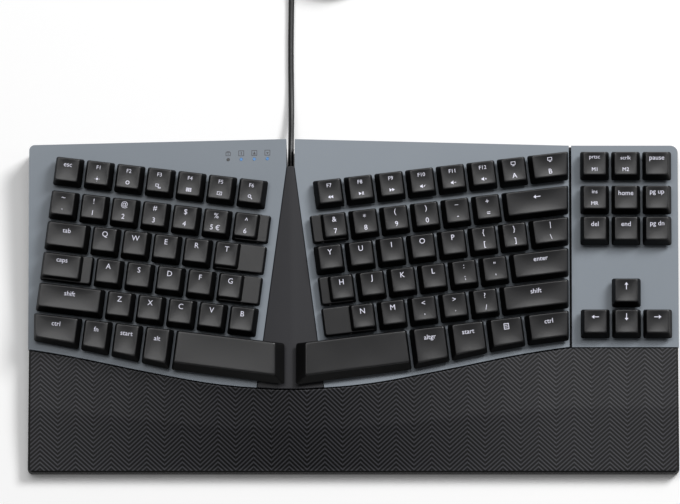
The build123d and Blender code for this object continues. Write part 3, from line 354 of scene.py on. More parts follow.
def eased(node, name, material, width, segments=3):
    """A copy of a CAD piece with its sharp edges rounded over, as they leave the mould."""
    mesh = bmesh.new()
    mesh.from_mesh(nodes[node].data)
    bmesh.ops.remove_doubles(mesh, verts=mesh.verts, dist=1e-6)
    limit = math.radians(0.5)
    bmesh.ops.dissolve_limit(mesh, angle_limit=limit, verts=mesh.verts, edges=mesh.edges)
    data = bpy.data.meshes.new(name)
    mesh.to_mesh(data)
    data.materials.append(material)
    smooth(data, 32.0)
    piece = placed(name, data)
    bevel = piece.modifiers.new("edges", "BEVEL")
    bevel.width, bevel.segments, bevel.limit_method = width, segments, "ANGLE"
    bevel.angle_limit = math.radians(35.0)
    bevel.use_clamp_overlap, bevel.harden_normals = True, True
    evaluated = piece.evaluated_get(bpy.context.evaluated_depsgraph_get())
    final = bpy.data.meshes.new_from_object(evaluated)
    piece.modifiers.clear()
    piece.data = final
    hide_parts(node)
    return piece


for side in ("left", "right", "nav"):
    deck = eased(f"{side}_cover", f"{side}_deck", deck_grey, 0.0005)
    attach(deck, "keyboard")


# The black mouldings: the wedge between the halves, the tray of the case, the base of the palm rest and the
# two feet that fold out under the back edge.
def case_plastic(place):
    spark = place.grain(3200.0, 3.0)
    return {
        "Base Color": spark.mix(grey(24, 1.4), grey(36, 1.4)),
        "Roughness": 0.46 + 0.18 * spark,
        "Normal": spark.bumped(0.00004),
    }


case_black = finish("case_black", case_plastic)
for node, name in (("centre_wedge", "ridge_piece"), ("bottom_case", "case_tray")):
    moulding = eased(node, name, case_black, 0.0004, 2)
    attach(moulding, "keyboard")
dress(case_black, "palm_rest_base", "flip_foot_left", "flip_foot_right")


# Small parts: soft feet glued into the case, plated screws, the steel plates that hold the switches, the
# green boards under them, and the smoky switch housings.
def foot_rubber(place):
    grain = place.grain(1800.0, 3.0)
    return {"Base Color": grain.mix(grey(28), grey(44)), "Roughness": 0.8, "Normal": grain.bumped(0.0001)}


def plated_steel(place):
    brushed = place.node("Mapping", {}, {"Vector": place, "Scale": (40.0, 4000.0, 40.0)})
    streak = brushed.node("TexNoise", {}, {"Vector": brushed, "Scale": 1.0, "Detail": 3.0})
    return {
        "Base Color": streak.mix(grey(150), grey(190)),
        "Metallic": 1.0,
        "Roughness": 0.28 + 0.2 * streak,
        "Normal": streak.bumped(0.00001),
    }


def board_green(place):
    tracks = place.grain(260.0)
    copper = tracks.above(0.56, 0.01)
    return {
        "Base Color": copper.mix((0.006, 0.045, 0.018, 1.0), (0.015, 0.10, 0.035, 1.0)),
        "Roughness": 0.3 + 0.15 * tracks,
        "Coat Weight": 0.3,
    }


def housing(place):
    grain = place.grain(2500.0)
    return {"Base Color": grain.mix(grey(20), grey(30)), "Roughness": 0.3 + 0.15 * grain}


dress(finish("foot_rubber", foot_rubber), "rubber_feet")
steel = finish("plated_steel", plated_steel)
dress(steel, "case_screws", "switch_plates")
dress(finish("board_green", board_green), "circuit_boards", "controller_board")
dress(finish("switch_black", housing), "switch_bases", "switch_tops", "stabiliser_guides")


# The status lights: four clear pipes in the left deck. The first is dark and the other three glow blue.
FIRST_LIGHT_X, LIGHT_SPACING = -0.0766, 0.0080


def light_pipe(place):
    lit = place.axes()[0].above(FIRST_LIGHT_X + LIGHT_SPACING / 2, 0.0001)
    return {
        "Base Color": lit.mix(grey(22), (0.03, 0.14, 0.36, 1.0)),
        "Roughness": 0.15 + 0.1 * place.grain(900.0),
        "Emission Color": lit.mix((0.0, 0.0, 0.0, 1.0), (0.12, 0.48, 1.0, 1.0)),
        "Emission Strength": 0.14,
    }


dress(finish("light_pipe", light_pipe), "status_lights")


# The keycaps: black satin plastic, each with a shallow dish in its top and a rounded rim. They stand on the
# switches' sliders, and the wide ones have a steel wire as well.
def cap_plastic(place):
    grain = place.grain(3800.0)
    worn = place.grain(60.0)
    return {
        "Base Color": (0.5 * grain + 0.5 * worn).mix(grey(20), grey(32)),
        "Roughness": 0.28 + 0.08 * grain + 0.06 * worn,
        "Specular IOR Level": 0.62,
        "Normal": grain.bumped(0.00002),
    }


# The caps' sides: the same plastic as the tops, but painted darker and given a weaker reflection, which is
# painted shade on the flanks.
def cap_flank_painted_shade(place):
    grain = place.grain(3800.0)
    return {
        "Base Color": grain.mix(grey(9), grey(15)),
        "Roughness": 0.5 + 0.12 * grain,
        "Specular IOR Level": 0.18,
        "Normal": grain.bumped(0.00002),
    }


cap_black = finish("cap_black", cap_plastic)
# A second, darker copy of the cap plastic for the sides and posts: painted shade.
cap_side_painted_shade = finish("cap_side_painted_shade", cap_flank_painted_shade)
slider_brown = finish("slider_brown", lambda place: {
    "Base Color": place.grain(900.0).mix((0.10, 0.028, 0.02, 1.0), (0.14, 0.04, 0.028, 1.0)),
    "Roughness": 0.4,
})
CAP_MATERIALS = (cap_black, slider_brown, steel, cap_side_painted_shade)
TOP_MATERIAL, SLIDER_MATERIAL, WIRE_MATERIAL, SHADED_SIDE_MATERIAL = range(len(CAP_MATERIALS))
CAP_HEIGHT, STEP_HEIGHT, CAP_WALL, CAP_CEILING = 0.0060, 0.0030, 0.0013, 0.0015
CAP_RIM, DISH, SPACE_DISH = 0.00045, 0.00055, 0.00015
LEVEL, ONE_LINE = 0.00002, math.radians(2.0)
RAISED_INSETS = (0.0030, 0.0030, 0.0008, 0.00185)
STEP_INSETS = (0.0010, 0.00085, 0.0003, 0.00185)
STEP_POINTS, WIRE_POINTS = 40, 200
INNER_CORNER, FOOT_CORNER = 0.0006, 0.0014
STEPPED = {
    "number_keys_left",
    "letter_keys_qwert",
    "letter_keys_asdfg",
    "caps_lock_key",
    "number_keys_right",
    "letter_keys_hjkl",
    "letter_keys_nm",
}
STEP_CEILING, WALL_REACH, CLEAR_OF_SWITCH = 0.0008, 0.0022, 0.0022
SLIDER_AT_LEAST, SLIDER_RISE, POST_EDGE, INTO_ROOF = 0.006, 0.0019, 0.0003, 0.0005


DECK_SLOPE, DECK_LEAN, ROW_TURN = 4.0, 7.0, 7.5


def deck_turn(lean, turn):
    """How a deck and its rows are turned: 1 is for the left deck, -1 for the right and 0 for neither."""
    sloped = Matrix.Rotation(math.radians(DECK_SLOPE), 3, "X")
    leaning = sloped @ Matrix.Rotation(math.radians(-DECK_LEAN * lean), 3, "Y")
    return leaning @ Matrix.Rotation(math.radians(-ROW_TURN * turn), 3, "Z")


def shells(node):
    """The separate solids of a CAD node, as points and faces, in the same order on each run."""
    mesh = bmesh.new()
    mesh.from_mesh(nodes[node].data)
    bmesh.ops.remove_doubles(mesh, verts=mesh.verts, dist=1e-6)
    mesh.faces.index_update()
    reached, found = set(), []
    for start in mesh.verts:
        if start in reached:
            continue
        reached.add(start)
        group = [start]
        for vert in group:
            near = [e.other_vert(vert) for e in vert.link_edges]
            group += [other for other in near if other not in reached]
            reached.update(near)
        order = {vert: n for n, vert in enumerate(group)}
        faces = sorted({face for vert in group for face in vert.link_faces}, key=lambda face: face.index)
        found.append(([v.co.copy() for v in group], [[order[v] for v in f.verts] for f in faces]))
    return found


def meet(a, b):
    """Where two lines cross, each given by two of its points."""
    p, d, q, e = a[0], a[1] - a[0], b[0], b[1] - b[0]
    return p + d * ((q - p).x * e.y - (q - p).y * e.x) / (d.x * e.y - d.y * e.x)


def running_on(hull):
    """The sides of a hull, with those that run on in one line joined."""
    sides = []
    for start, end in zip(hull, hull[1:] + hull[:1]):
        if sides and abs((sides[-1][1] - sides[-1][0]).angle_signed(end - start)) < ONE_LINE:
            sides[-1] = (sides[-1][0], end)
        else:
            sides.append((start, end))
    if abs((sides[-1][1] - sides[-1][0]).angle_signed(sides[0][1] - sides[0][0])) < ONE_LINE:
        sides[0] = (sides.pop()[0], sides[0][1])
    return sides


def corners(points):
    """The sharp corners of a rounded quadrilateral: near left, near right, far right, far left."""
    hull = [points[n] for n in convex_hull_2d(points)]
    sides = sorted(running_on(hull), key=lambda s: -(s[1] - s[0]).length)[:4]
    middle = sum((a + b for a, b in sides), Vector((0.0, 0.0))) / 8

    def bearing(side):
        out = (side[0] + side[1]) / 2 - middle
        return (math.atan2(out.y, out.x) + math.pi * 0.75) % (2 * math.pi)

    sides.sort(key=bearing)
    return [meet(sides[n - 1], sides[n]) for n in range(4)]


def drawn_in(quad, insets):
    """A quadrilateral with its near, right, far and left sides moved inwards, each by its own distance."""
    lines = []
    for n, inset in enumerate(insets):
        a, b = quad[n], quad[(n + 1) % 4]
        inward = (b - a).normalized().orthogonal() * inset
        lines.append((a + inward, b + inward))
    return [meet(lines[n - 1], lines[n]) for n in range(4)]


def between(low, high, share):
    return [a.lerp(b, share) for a, b in zip(low, high)]


def ring(quad, radius, height):
    """Points round a quadrilateral with rounded corners, at one height."""
    points = []
    for n in range(4):
        corner = quad[n]
        back = (quad[n - 1] - corner).normalized() * radius
        on = (quad[(n + 1) % 4] - corner).normalized() * radius
        for step in range(5):
            angle = math.radians(22.5 * step)
            points.append(corner + back * (1 - math.sin(angle)) + on * (1 - math.cos(angle)))
        start, end = corner + on, quad[(n + 1) % 4] - on
        points += [start.lerp(end, step / 6) for step in range(1, 6)]
    return [Vector((p.x, p.y, height)) for p in points]


def share_of(quad, x, y):
    """How far a point lies from the middle of a quadrilateral, from -1 to 1 across and from front to back."""
    near = (quad[0].y + quad[1].y) / 2
    far = (quad[2].y + quad[3].y) / 2
    along = (y - near) / (far - near)
    left = quad[0].x + (quad[3].x - quad[0].x) * along
    right = quad[1].x + (quad[2].x - quad[1].x) * along
    return 2 * (x - left) / (right - left) - 1, 2 * along - 1


def dished(quad, high, depth, x, y):
    """The height of a cap's top at a point: level at the rim and lowest in the middle."""
    u, v = share_of(quad, x, y)
    return high - depth * max(0.0, 1 - u * u) * max(0.0, 1 - v * v)


def skin(mesh, rings, first, last, turn, sides, materials=(SHADED_SIDE_MATERIAL, TOP_MATERIAL)):
    """Joins rings into one closed skin with a fan at each end. The first few bands are the sides: matt, and
    painted darker as shade.
    """
    rows = [[mesh.verts.new(turn @ p) for p in points] for points in rings]
    ends = [mesh.verts.new(turn @ first), mesh.verts.new(turn @ last)]
    count = len(rows[0])
    for band, (low, high) in enumerate(zip(rows, rows[1:])):
        for n in range(count):
            face = mesh.faces.new((low[n - 1], low[n], high[n], high[n - 1]))
            face.material_index = materials[0] if band < sides else materials[1]
    for row, end, material in zip((rows[0], rows[-1]), ends, materials):
        for n in range(count):
            mesh.faces.new((row[n - 1], row[n], end)).material_index = material


def opened(rings, quad, side, level):
    """Lifts the foot of one wall, so that the hollows on its two sides are one."""
    start = quad[side]
    inward = (quad[(side + 1) % 4] - start).normalized().orthogonal()
    for points in rings:
        for p in points:
            if (p.xy - start).dot(inward) < WALL_REACH:
                p.z = max(p.z, level)


def cap_skin(mesh, base, top, low, high, depth, turn, open_side=None):
    """One hollow keycap: up the outside, over the rim, and in across the dish."""
    height = high - low
    roof = high - CAP_CEILING
    inner = [drawn_in(quad, [CAP_WALL] * 4) for quad in (base, between(base, top, (roof - low) / height))]
    rings = [ring(inner[1], INNER_CORNER, roof), ring(inner[0], INNER_CORNER, low)]
    for share in (0.0, 0.35, 0.7, 1 - CAP_RIM / height):
        rings.append(ring(between(base, top, share), FOOT_CORNER - 0.0004 * share, low + height * share))
    if open_side is not None:
        opened(rings, base, open_side, low + CLEAR_OF_SWITCH)
    for degrees in (25, 50, 75):
        angle = math.radians(degrees)
        rise = high - CAP_RIM * (1 - math.sin(angle))
        inset = CAP_RIM * (1 - math.cos(angle))
        rings.append(ring(drawn_in(between(base, top, (rise - low) / height), [inset] * 4), 0.0009, rise))
    field = drawn_in(top, [CAP_RIM] * 4)
    middle = sum(field, Vector((0.0, 0.0))) / 4
    for share in (1.0, 0.92, 0.8, 0.65, 0.5, 0.35, 0.2):
        points = ring([middle.lerp(corner, share) for corner in field], 0.0007 * share, high)
        rings.append([Vector((p.x, p.y, dished(field, high, depth, p.x, p.y))) for p in points])
    bottom = sum(inner[1], Vector((0.0, 0.0))) / 4
    floor = dished(field, high, depth, middle.x, middle.y)
    skin(mesh, rings, Vector((*bottom, roof)), Vector((*middle, floor)), turn, sides=5)
    return field


def step_skin(mesh, base, top, low, high, turn):
    """The low part beside a stepped cap's raised top."""
    height = high - low
    rim, roof = CAP_RIM * 0.7, high - STEP_CEILING
    under = drawn_in(between(base, top, (roof - low) / height), [CAP_WALL] * 4)
    rings = [ring(under, INNER_CORNER, roof), ring(drawn_in(base, [CAP_WALL] * 4), INNER_CORNER, low)]
    rings += [ring(base, FOOT_CORNER, low), ring(between(base, top, 1 - rim / height), 0.0012, high - rim)]
    for degrees in (30, 60, 90):
        angle = math.radians(degrees)
        rise, inset = high - rim * (1 - math.sin(angle)), rim * (1 - math.cos(angle))
        rings.append(ring(drawn_in(between(base, top, (rise - low) / height), [inset] * 4), 0.001, rise))
    rings += [ring(drawn_in(top, [rim + more] * 4), 0.0008, high) for more in (0.0003, 0.0006)]
    middle = sum(top, Vector((0.0, 0.0))) / 4
    bottom = sum(under, Vector((0.0, 0.0))) / 4
    skin(mesh, rings, Vector((*bottom, roof)), Vector((*middle, high)), turn, sides=3)


def feet(points, faces):
    """The lower ends of a key's slider and posts: their level and the corners of each."""
    level, groups = min(p.z for p in points), []
    for face in faces:
        if all(abs(points[n].z - level) < LEVEL for n in face):
            joined = set(face)
            for group in [g for g in groups if g & joined]:
                joined |= group
                groups.remove(group)
            groups.append(joined)
    quads = []
    for group in groups:
        across, along = sorted(points[n].x for n in group), sorted(points[n].y for n in group)
        near, far = along[0], along[-1]
        places = ((across[0], near), (across[-1], near), (across[-1], far), (across[0], far))
        quads.append([Vector(place) for place in places])
    return level, quads


def post_skin(mesh, quad, low, high, turn, material):
    """A slider, or a post under a wide cap, with its lower edge eased so that it finds its hole."""
    rings = [ring(drawn_in(quad, [POST_EDGE] * 4), POST_EDGE, low)]
    rings += [ring(quad, POST_EDGE, height) for height in (low + POST_EDGE, high)]
    middle = sum(quad, Vector((0.0, 0.0))) / 4
    ends = Vector((*middle, low)), Vector((*middle, high))
    skin(mesh, rings, *ends, turn, sides=len(rings), materials=(material, material))


def facing_ridge(insets, mirrored):
    """Insets for near, right, far and left, with right and left changed over on the right deck."""
    near, right, far, left = insets
    return (near, left, far, right) if mirrored else insets


def keycaps(node, turn, depth, mirrored):
    """Replaces a key node with finer caps on its own sliders. Gives each cap's field for the printing."""
    local = turn.transposed()
    found = [([local @ p for p in points], faces) for points, faces in shells(node)]
    high = max(p.z for points, _ in found for p in points)
    mesh, fields = bmesh.new(), []
    for points, faces in found:
        if max(p.z for p in points) < high - LEVEL:
            verts = [mesh.verts.new(turn @ p) for p in points]
            for face in faces:
                made = mesh.faces.new([verts[n] for n in face])
                made.material_index = WIRE_MATERIAL if len(points) > WIRE_POINTS else SLIDER_MATERIAL
            continue
        low = high - CAP_HEIGHT
        base = corners([p.xy for p in points if abs(p.z - low) < LEVEL])
        top = corners([p.xy for p in points if abs(p.z - high) < LEVEL])
        level, quads = feet(points, faces)
        for quad in quads if level < low - LEVEL else []:
            is_slider = quad[1].x - quad[0].x > SLIDER_AT_LEAST
            joint = low + SLIDER_RISE if is_slider else level
            if is_slider:
                post_skin(mesh, quad, level, joint, turn, SLIDER_MATERIAL)
            post_skin(mesh, quad, joint, high - CAP_CEILING + INTO_ROOF, turn, SHADED_SIDE_MATERIAL)
        step = [p for p in points if abs(p.z - low - STEP_HEIGHT) < LEVEL]
        open_side = None
        if node in STEPPED and len(step) > STEP_POINTS:
            open_side = 3 if mirrored else 1
            ledge = drawn_in(base, facing_ridge(STEP_INSETS, mirrored))
            step_skin(mesh, base, ledge, low, low + STEP_HEIGHT, turn)
            base = drawn_in(top, [-inset for inset in facing_ridge(RAISED_INSETS, mirrored)])
        fields.append((cap_skin(mesh, base, top, low, high, depth, turn, open_side), high))
    bmesh.ops.recalc_face_normals(mesh, faces=mesh.faces)
    data = bpy.data.meshes.new(f"caps_{node}")
    mesh.to_mesh(data)
    for material in CAP_MATERIALS:
        data.materials.append(material)
    smooth(data, 40.0)
    caps = placed(f"caps_{node}", data)
    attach(caps, f"{node}_body")
    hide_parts(node)

    def reading_order(field):
        middle = sum(field[0], Vector((0.0, 0.0))) / 4
        return (-round(middle.y / 0.015), middle.x)

    return sorted(fields, key=reading_order)


# The printing on the keys: thin white ink in plain letters, numbers and signs, laid into the dish.
INK = 0.00006
white_ink = finish("white_ink", lambda place: {
    "Base Color": place.grain(2500.0).mix(grey(226), grey(240)),
    "Roughness": 0.5,
})


def disc(x, y, radius):
    angles = [n * math.pi / 12 for n in range(24)]
    return [(x + radius * math.cos(angle), y + radius * math.sin(angle)) for angle in angles]


def box(left, low, right, high):
    return [(left, low), (right, low), (right, high), (left, high)]


def bar(x0, y0, x1, y1, width=0.1):
    across = Vector((y0 - y1, x1 - x0)).normalized() * width / 2
    ends = [Vector((x0, y0)), Vector((x1, y1))]
    return [tuple(p) for p in (ends[0] - across, ends[1] - across, ends[1] + across, ends[0] + across)]


def arrow(dx, dy):
    """A shaft with an open head, pointing along dx, dy."""
    tip, side = Vector((dx, dy)) * 0.5, Vector((-dy, dx))
    shaft = bar(-tip.x, -tip.y, tip.x * 0.29, tip.y * 0.29, 0.11)
    head = [tip, tip * 0.3 + side * 0.27, tip * 0.3 - side * 0.27]
    return [shaft, [tuple(p) for p in head]]


def speaker(*more):
    cone = [(-0.5, -0.14), (-0.3, -0.14), (-0.05, -0.36), (-0.05, 0.36), (-0.3, 0.14), (-0.5, 0.14)]
    return [cone, *more]


def frame_of(left, low, right, high, line=0.09):
    return [box(left, low, right, high), box(left + line, low + line, right - line, high - line)]


SIGNS = {
    "dim": [
        disc(0, 0, 0.2),
        *(disc(0.38 * math.cos(a), 0.38 * math.sin(a), 0.05) for a in (0, 1.57, 3.14, 4.71)),
    ],
    "bright": [disc(0, 0, 0.36), disc(0, 0, 0.23)],
    "windows": frame_of(-0.5, -0.1, 0.1, 0.4) + frame_of(-0.02, -0.4, 0.5, -0.16),
    "rows": [
        box(-0.48 + 0.34 * n, -0.3 + 0.24 * m, -0.2 + 0.34 * n, -0.12 + 0.24 * m)
        for n in range(3)
        for m in range(3)
    ],
    "note": frame_of(-0.5, -0.32, 0.4, 0.3) + [bar(-0.1, -0.08, 0.12, 0.12)],
    "find": [disc(-0.1, 0.1, 0.3), disc(-0.1, 0.1, 0.19), bar(0.13, -0.13, 0.42, -0.42, 0.14)],
    "back": [[(-0.5, 0), (-0.05, 0.3), (-0.05, -0.3)], [(-0.02, 0), (0.43, 0.3), (0.43, -0.3)]],
    "play": [
        [(-0.45, 0.3), (0.05, 0), (-0.45, -0.3)],
        box(0.14, -0.3, 0.24, 0.3),
        box(0.34, -0.3, 0.44, 0.3),
    ],
    "onward": [[(0.5, 0), (0.05, -0.3), (0.05, 0.3)], [(0.02, 0), (-0.43, -0.3), (-0.43, 0.3)]],
    "mute": speaker(bar(0.12, -0.16, 0.42, 0.16)),
    "softer": speaker(box(0.12, -0.05, 0.42, 0.05)),
    "louder": speaker(
        box(0.12, -0.05, 0.24, 0.05),
        box(0.3, -0.05, 0.42, 0.05),
        box(0.22, -0.16, 0.32, 0.16),
    ),
    "screen": frame_of(-0.42, -0.2, 0.42, 0.38) + [box(-0.2, -0.42, 0.2, -0.32)],
    "left": arrow(-1, 0),
    "right": arrow(1, 0),
    "up": arrow(0, 1),
    "down": arrow(0, -1),
    "list": [
        *frame_of(-0.36, -0.42, 0.36, 0.42),
        box(-0.18, 0.1, 0.18, 0.18),
        box(-0.18, -0.14, 0.18, -0.06),
    ],
    "one": frame_of(-0.4, -0.4, 0.4, 0.4, 0.08) + [box(-0.05, -0.22, 0.06, 0.22)],
    "capital": frame_of(-0.4, -0.4, 0.4, 0.4, 0.08) + [[(-0.2, -0.22), (0.2, -0.22), (0, 0.24)]],
    "scroll": frame_of(-0.4, -0.4, 0.4, 0.4, 0.08) + [[(-0.18, 0.05), (0.18, 0.05), (0, -0.22)]],
    "lock": [
        *frame_of(-0.36, -0.42, 0.36, 0.1, 0.08),
        box(-0.24, 0.16, 0.24, 0.24),
        box(-0.06, -0.24, 0.06, -0.08),
    ],
}


def seen_from_above(node):
    """A CAD node as a surface that rays can be dropped on."""
    mesh = bmesh.new()
    mesh.from_mesh(nodes[node].data)
    return BVHTree.FromBMesh(mesh)


def drop_on(surface, x, y):
    """The point where a ray from above meets a surface, or None beside it."""
    return surface.ray_cast(Vector((x, y, 0.2)), Vector((0.0, 0.0, -1.0)))[0]


def printing(words, size):
    """Flat letters or one of the signs above, centred, as points and faces with the ink's thickness."""
    if words in SIGNS:
        shape = bpy.data.curves.new("sign", "CURVE")
        shape.dimensions, shape.fill_mode = "2D", "BOTH"
        for outline in SIGNS[words]:
            loop = shape.splines.new("POLY")
            loop.points.add(len(outline) - 1)
            loop.use_cyclic_u = True
            for point, (x, y) in zip(loop.points, outline):
                point.co = (x * size, y * size, 0.0, 1.0)
    else:
        shape = bpy.data.curves.new("words", "FONT")
        shape.body, shape.size, shape.resolution_u = words, size, 3
    shape.extrude = INK / 2
    holder = placed("printing", shape)
    flat = bpy.data.meshes.new_from_object(holder.evaluated_get(bpy.context.evaluated_depsgraph_get()))
    bpy.data.objects.remove(holder)
    points = [v.co.copy() for v in flat.vertices]
    low = [min(p[n] for p in points) for n in (0, 1)]
    high = [max(p[n] for p in points) for n in (0, 1)]
    middle = Vector(((low[0] + high[0]) / 2, (low[1] + high[1]) / 2, 0.0))
    faces = [list(face.vertices) for face in flat.polygons]
    bpy.data.meshes.remove(flat)
    return [p - middle for p in points], faces


def print_on(name, body, prints, material):
    """One piece of printing. Each print is its points, its faces and a rule that lays a point down."""
    points, faces = [], []
    for flat, sides, lay in prints:
        faces += [[n + len(points) for n in side] for side in sides]
        points += [lay(p) for p in flat]
    data = bpy.data.meshes.new(name)
    data.from_pydata(points, [], faces)
    data.materials.append(material)
    piece = placed(name, data)
    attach(piece, body)


LETTER, NUMBER, WORD, SMALL, SIGN, ARROW = 0.0046, 0.0044, 0.0041, 0.0033, 0.0034, 0.0044
LETTER_PLACE, WORD_PLACE, UPPER_PLACE, LOWER_PLACE = 0.735, 0.71, 0.77, 0.22
KEY_PRINTS = {
    "esc_key": ["esc"],
    "function_keys_left": ["F1 dim", "F2 bright", "F3 windows", "F4 rows", "F5 note", "F6 find"],
    "number_keys_left": ["~ `", "! 1", "@ 2", "# 3", "$ 4", "% 5_€", "^ 6"],
    "tab_key": ["tab"],
    "letter_keys_qwert": list("QWERT"),
    "caps_lock_key": ["caps"],
    "letter_keys_asdfg": list("ASDFG"),
    "shift_left_key": ["shift"],
    "letter_keys_zxcvb": list("ZXCVB"),
    "ctrl_left_key": ["ctrl"],
    "fn_key": ["fn"],
    "start_left_key": ["start"],
    "alt_left_key": ["alt"],
    "space_left_key": [""],
    "function_keys_right": ["F7 back", "F8 play", "F9 onward", "F10 mute", "F11 softer", "F12 louder"],
    "layout_a_key": ["screen A"],
    "layout_b_key": ["screen B"],
    "number_keys_right": ["& 7", "* 8", "( 9", ") 0", "_ -", "+ ="],
    "backspace_key": ["left"],
    "letter_keys_yuiop": list("YUIOP") + ["{ [", "} ]"],
    "backslash_key": ["| \\"],
    "letter_keys_hjkl": list("HJKL") + [": ;", "\" '"],
    "enter_key": ["enter"],
    "letter_keys_nm": list("NM") + ["< ,", "> .", "? /"],
    "shift_right_key": ["shift"],
    "space_right_key": [""],
    "alt_right_key": ["altgr"],
    "start_right_key": ["start"],
    "menu_key": ["list"],
    "ctrl_right_key": ["ctrl"],
    "system_keys": ["prtsc M1", "scrlk M2", "pause"],
    "navigation_keys": ["ins MR", "home", "pg_up", "del", "end", "pg_dn"],
    "up_arrow_key": ["up"],
    "left_arrow_key": ["left"],
    "down_arrow_key": ["down"],
    "right_arrow_key": ["right"],
}


def print_size(words, paired):
    if words in SIGNS:
        return SIGN if paired else ARROW
    if len(words) == 1 or words[0] == "5":
        return NUMBER if paired else LETTER
    return SMALL if paired else WORD


press_axes = {joint["child"]: Vector(joint["axis"]) for joint in frame["joints"]}
for node, keys in KEY_PRINTS.items():
    across = press_axes[f"{node}_body"].x
    lean = (across > 0.01) - (across < -0.01)
    turn = deck_turn(lean, lean)
    depth = SPACE_DISH if node.startswith("space") else DISH
    prints = []
    for (field, high), key in zip(keycaps(node, turn, depth, lean < 0), keys):
        marks = key.split()
        alone = LETTER_PLACE if len(key) == 1 else WORD_PLACE
        for mark, place in zip(marks, [alone] if len(marks) == 1 else [UPPER_PLACE, LOWER_PLACE]):
            middle = (field[0] + field[1]).lerp(field[2] + field[3], place) / 2

            def lay(p, field=field, high=high, middle=middle, turn=turn, depth=depth):
                x, y = middle.x + p.x, middle.y + p.y
                return turn @ Vector((x, y, dished(field, high, depth, x, y) + p.z + INK * 0.3))

            words = mark.replace("_", " ") if len(mark) > 1 else mark
            flat, sides = printing(words, print_size(mark, len(marks) > 1))
            prints.append((flat, sides, lay))
    if prints:
        print_on(f"print_{node}", f"{node}_body", prints, white_ink)

# The signs over the status lights: dark ink on the deck.
SIGN_Y, SIGN_SIZE = 0.0924, 0.0043
dark_ink = finish("dark_ink", lambda place: {
    "Base Color": place.grain(2500.0).mix(grey(74), grey(88)),
    "Roughness": 0.5,
})
left_deck = deck_turn(1, 0)
sign_ground = seen_from_above("left_cover")
prints = []
for n, sign in enumerate(("lock", "one", "capital", "scroll")):
    hit = drop_on(sign_ground, FIRST_LIGHT_X + n * LIGHT_SPACING, SIGN_Y)
    flat, sides = printing(sign, SIGN_SIZE)
    prints.append((flat, sides, lambda p, hit=hit: hit + left_deck @ (p + Vector((0.0, 0.0, INK * 0.3)))))
print_on("light_signs", "keyboard", prints, dark_ink)

# The palm rest: a firm foam pad under black leatherette, pressed with a herringbone of fine ribs. The cover
# is drawn tight over a rounded nose in front and over the sides, and it tucks under the decks at the back.
PAD_THICKNESS, PAD_LOW = 0.0028, 0.0036
PAD_EDGE, PAD_SIDE_EDGE = 0.0016, 0.0009
PAD_COLUMNS, PAD_ROWS = 266, 54
HALF_WIDTH, FRONT = 0.1985, -0.1005
CORNER, NOSE_DEPTH = 0.003, 0.003
EDGE_ROOM, BACK_ROOM = 0.00002, 0.00005
LEVEL_FROM_FRONT, LEVEL_FROM_BACK = 0.0021, 0.0002
pad_top = seen_from_above("palm_rest_pad")


def pad_back(x):
    """How far back the pad goes at one place across it."""
    inside, outside = FRONT + 0.02, 0.03
    for _ in range(24):
        middle = (inside + outside) / 2
        inside, outside = (middle, outside) if drop_on(pad_top, x, middle) else (inside, middle)
    return inside


def pad_front(x):
    """The front edge, which turns in at the two corners."""
    past = max(0.0, abs(x) - (HALF_WIDTH - CORNER))
    return FRONT + CORNER - math.sqrt(CORNER**2 - past**2)


def spaced(count, low, high, edge):
    """Places from low to high that crowd together within an edge at each end."""
    inner = [low + edge + (high - low - 2 * edge) * n / (count - 10) for n in range(count - 9)]
    round_off = [edge * (1 - math.cos(n * math.pi / 10)) for n in range(5)]
    return [low + r for r in round_off] + inner + [high - r for r in reversed(round_off)]


def over_edge(distance, edge):
    """How far a rounded edge has dropped at a distance from its outside."""
    return edge - math.sqrt(max(0.0, edge**2 - max(0.0, edge - distance) ** 2))


grid = []
for x in spaced(PAD_COLUMNS, -HALF_WIDTH + EDGE_ROOM, HALF_WIDTH - EDGE_ROOM, PAD_SIDE_EDGE):
    near, far = pad_front(x) + EDGE_ROOM, pad_back(x) - BACK_ROOM
    column = []
    for y in spaced(PAD_ROWS, near, far, PAD_EDGE):
        top = drop_on(pad_top, x, min(max(y, near + LEVEL_FROM_FRONT), far - LEVEL_FROM_BACK)).z
        drop = over_edge(y - near, PAD_EDGE) + over_edge(far - y, PAD_EDGE / 2)
        side_drop = over_edge(HALF_WIDTH - abs(x), PAD_SIDE_EDGE)
        column.append(Vector((x, y, top - max(drop, side_drop))))
    grid.append(column)


def smoothed(columns):
    """Evens out the facets of the sliced top along the rows, with the ends left where they are."""
    for _ in range(10):
        level = [[p.z for p in column] for column in columns]
        for n in range(8, len(columns) - 8):
            for m in range(6, len(columns[n]) - 3):
                columns[n][m].z = (level[n - 1][m] + 2 * level[n][m] + level[n + 1][m]) / 4


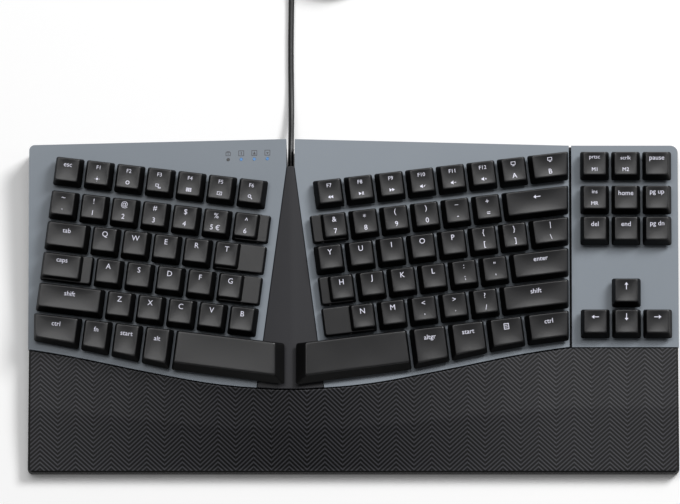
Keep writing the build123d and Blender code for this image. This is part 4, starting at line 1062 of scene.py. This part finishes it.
smoothed(grid)
pad = bmesh.new()
tops = [[pad.verts.new(p) for p in column] for column in grid]
floors = []
for column in grid:
    nose, row = column[0].y + NOSE_DEPTH, []
    for p in column:
        floor = max(PAD_LOW, p.z - PAD_THICKNESS) if p.y > nose else PAD_LOW
        row.append(pad.verts.new((p.x, p.y, floor)))
    floors.append(row)
for n in range(len(grid) - 1):
    for m in range(len(grid[n]) - 1):
        pad.faces.new((tops[n][m], tops[n + 1][m], tops[n + 1][m + 1], tops[n][m + 1]))
        pad.faces.new((floors[n][m], floors[n][m + 1], floors[n + 1][m + 1], floors[n + 1][m]))
    for m in (0, -1):
        pad.faces.new((tops[n][m], tops[n + 1][m], floors[n + 1][m], floors[n][m]))
for n in (0, -1):
    for m in range(len(grid[n]) - 1):
        pad.faces.new((tops[n][m], tops[n][m + 1], floors[n][m + 1], floors[n][m]))
bmesh.ops.recalc_face_normals(pad, faces=pad.faces)
HALF_CHEVRON, CHEVRON_PEAK, RIB_PITCH, RIB_SLOPE = 0.01086, -0.1913, 0.00265, 0.9
PLAIN_EDGE = 0.0012


def herringbone(place):
    x, y, _ = place.axes()
    zigzag = (x - CHEVRON_PEAK).math("PINGPONG", x - CHEVRON_PEAK, HALF_CHEVRON)
    run = (y + zigzag * RIB_SLOPE) / RIB_PITCH
    wave = run.math("PINGPONG", run, 0.5) * 2.0
    rib_and_sheen = wave.above(0.62, 0.22)
    inner_x = 1 - x.math("ABSOLUTE", x).above(HALF_WIDTH - PLAIN_EDGE, 0.0001)
    inner_y = y.above(FRONT + PLAIN_EDGE, 0.0001)
    rib_and_sheen = rib_and_sheen * inner_x * inner_y
    grain = place.grain(2300.0, 3.0)
    cloud = place.grain(26.0)
    return {
        # The ribs are painted lighter than the black grooves: partly printed tone, partly painted sheen on
        # the raised ribs.
        "Base Color": (rib_and_sheen * 0.94 + cloud * 0.06).mix(grey(4), grey(66)),
        "Roughness": 0.5 - 0.06 * rib_and_sheen + 0.1 * grain,
        "Specular IOR Level": 0.3,
        "Normal": (rib_and_sheen + 0.25 * grain).bumped(0.00006),
    }


data = bpy.data.meshes.new("palm_pad")
pad.to_mesh(data)
smooth(data, 40.0)
data.materials.append(finish("palm_leather", herringbone))
palm_pad = placed("palm_pad", data)
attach(palm_pad, "keyboard")
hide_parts("palm_rest_pad")

shown_box = [list(corner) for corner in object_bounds()]
for cad, shown, way in zip(cad_box, shown_box, (-1, 1)):
    assert all(way * (b - a) < 0.002 for a, b in zip(cad, shown)), "a piece stands out of the CAD box"
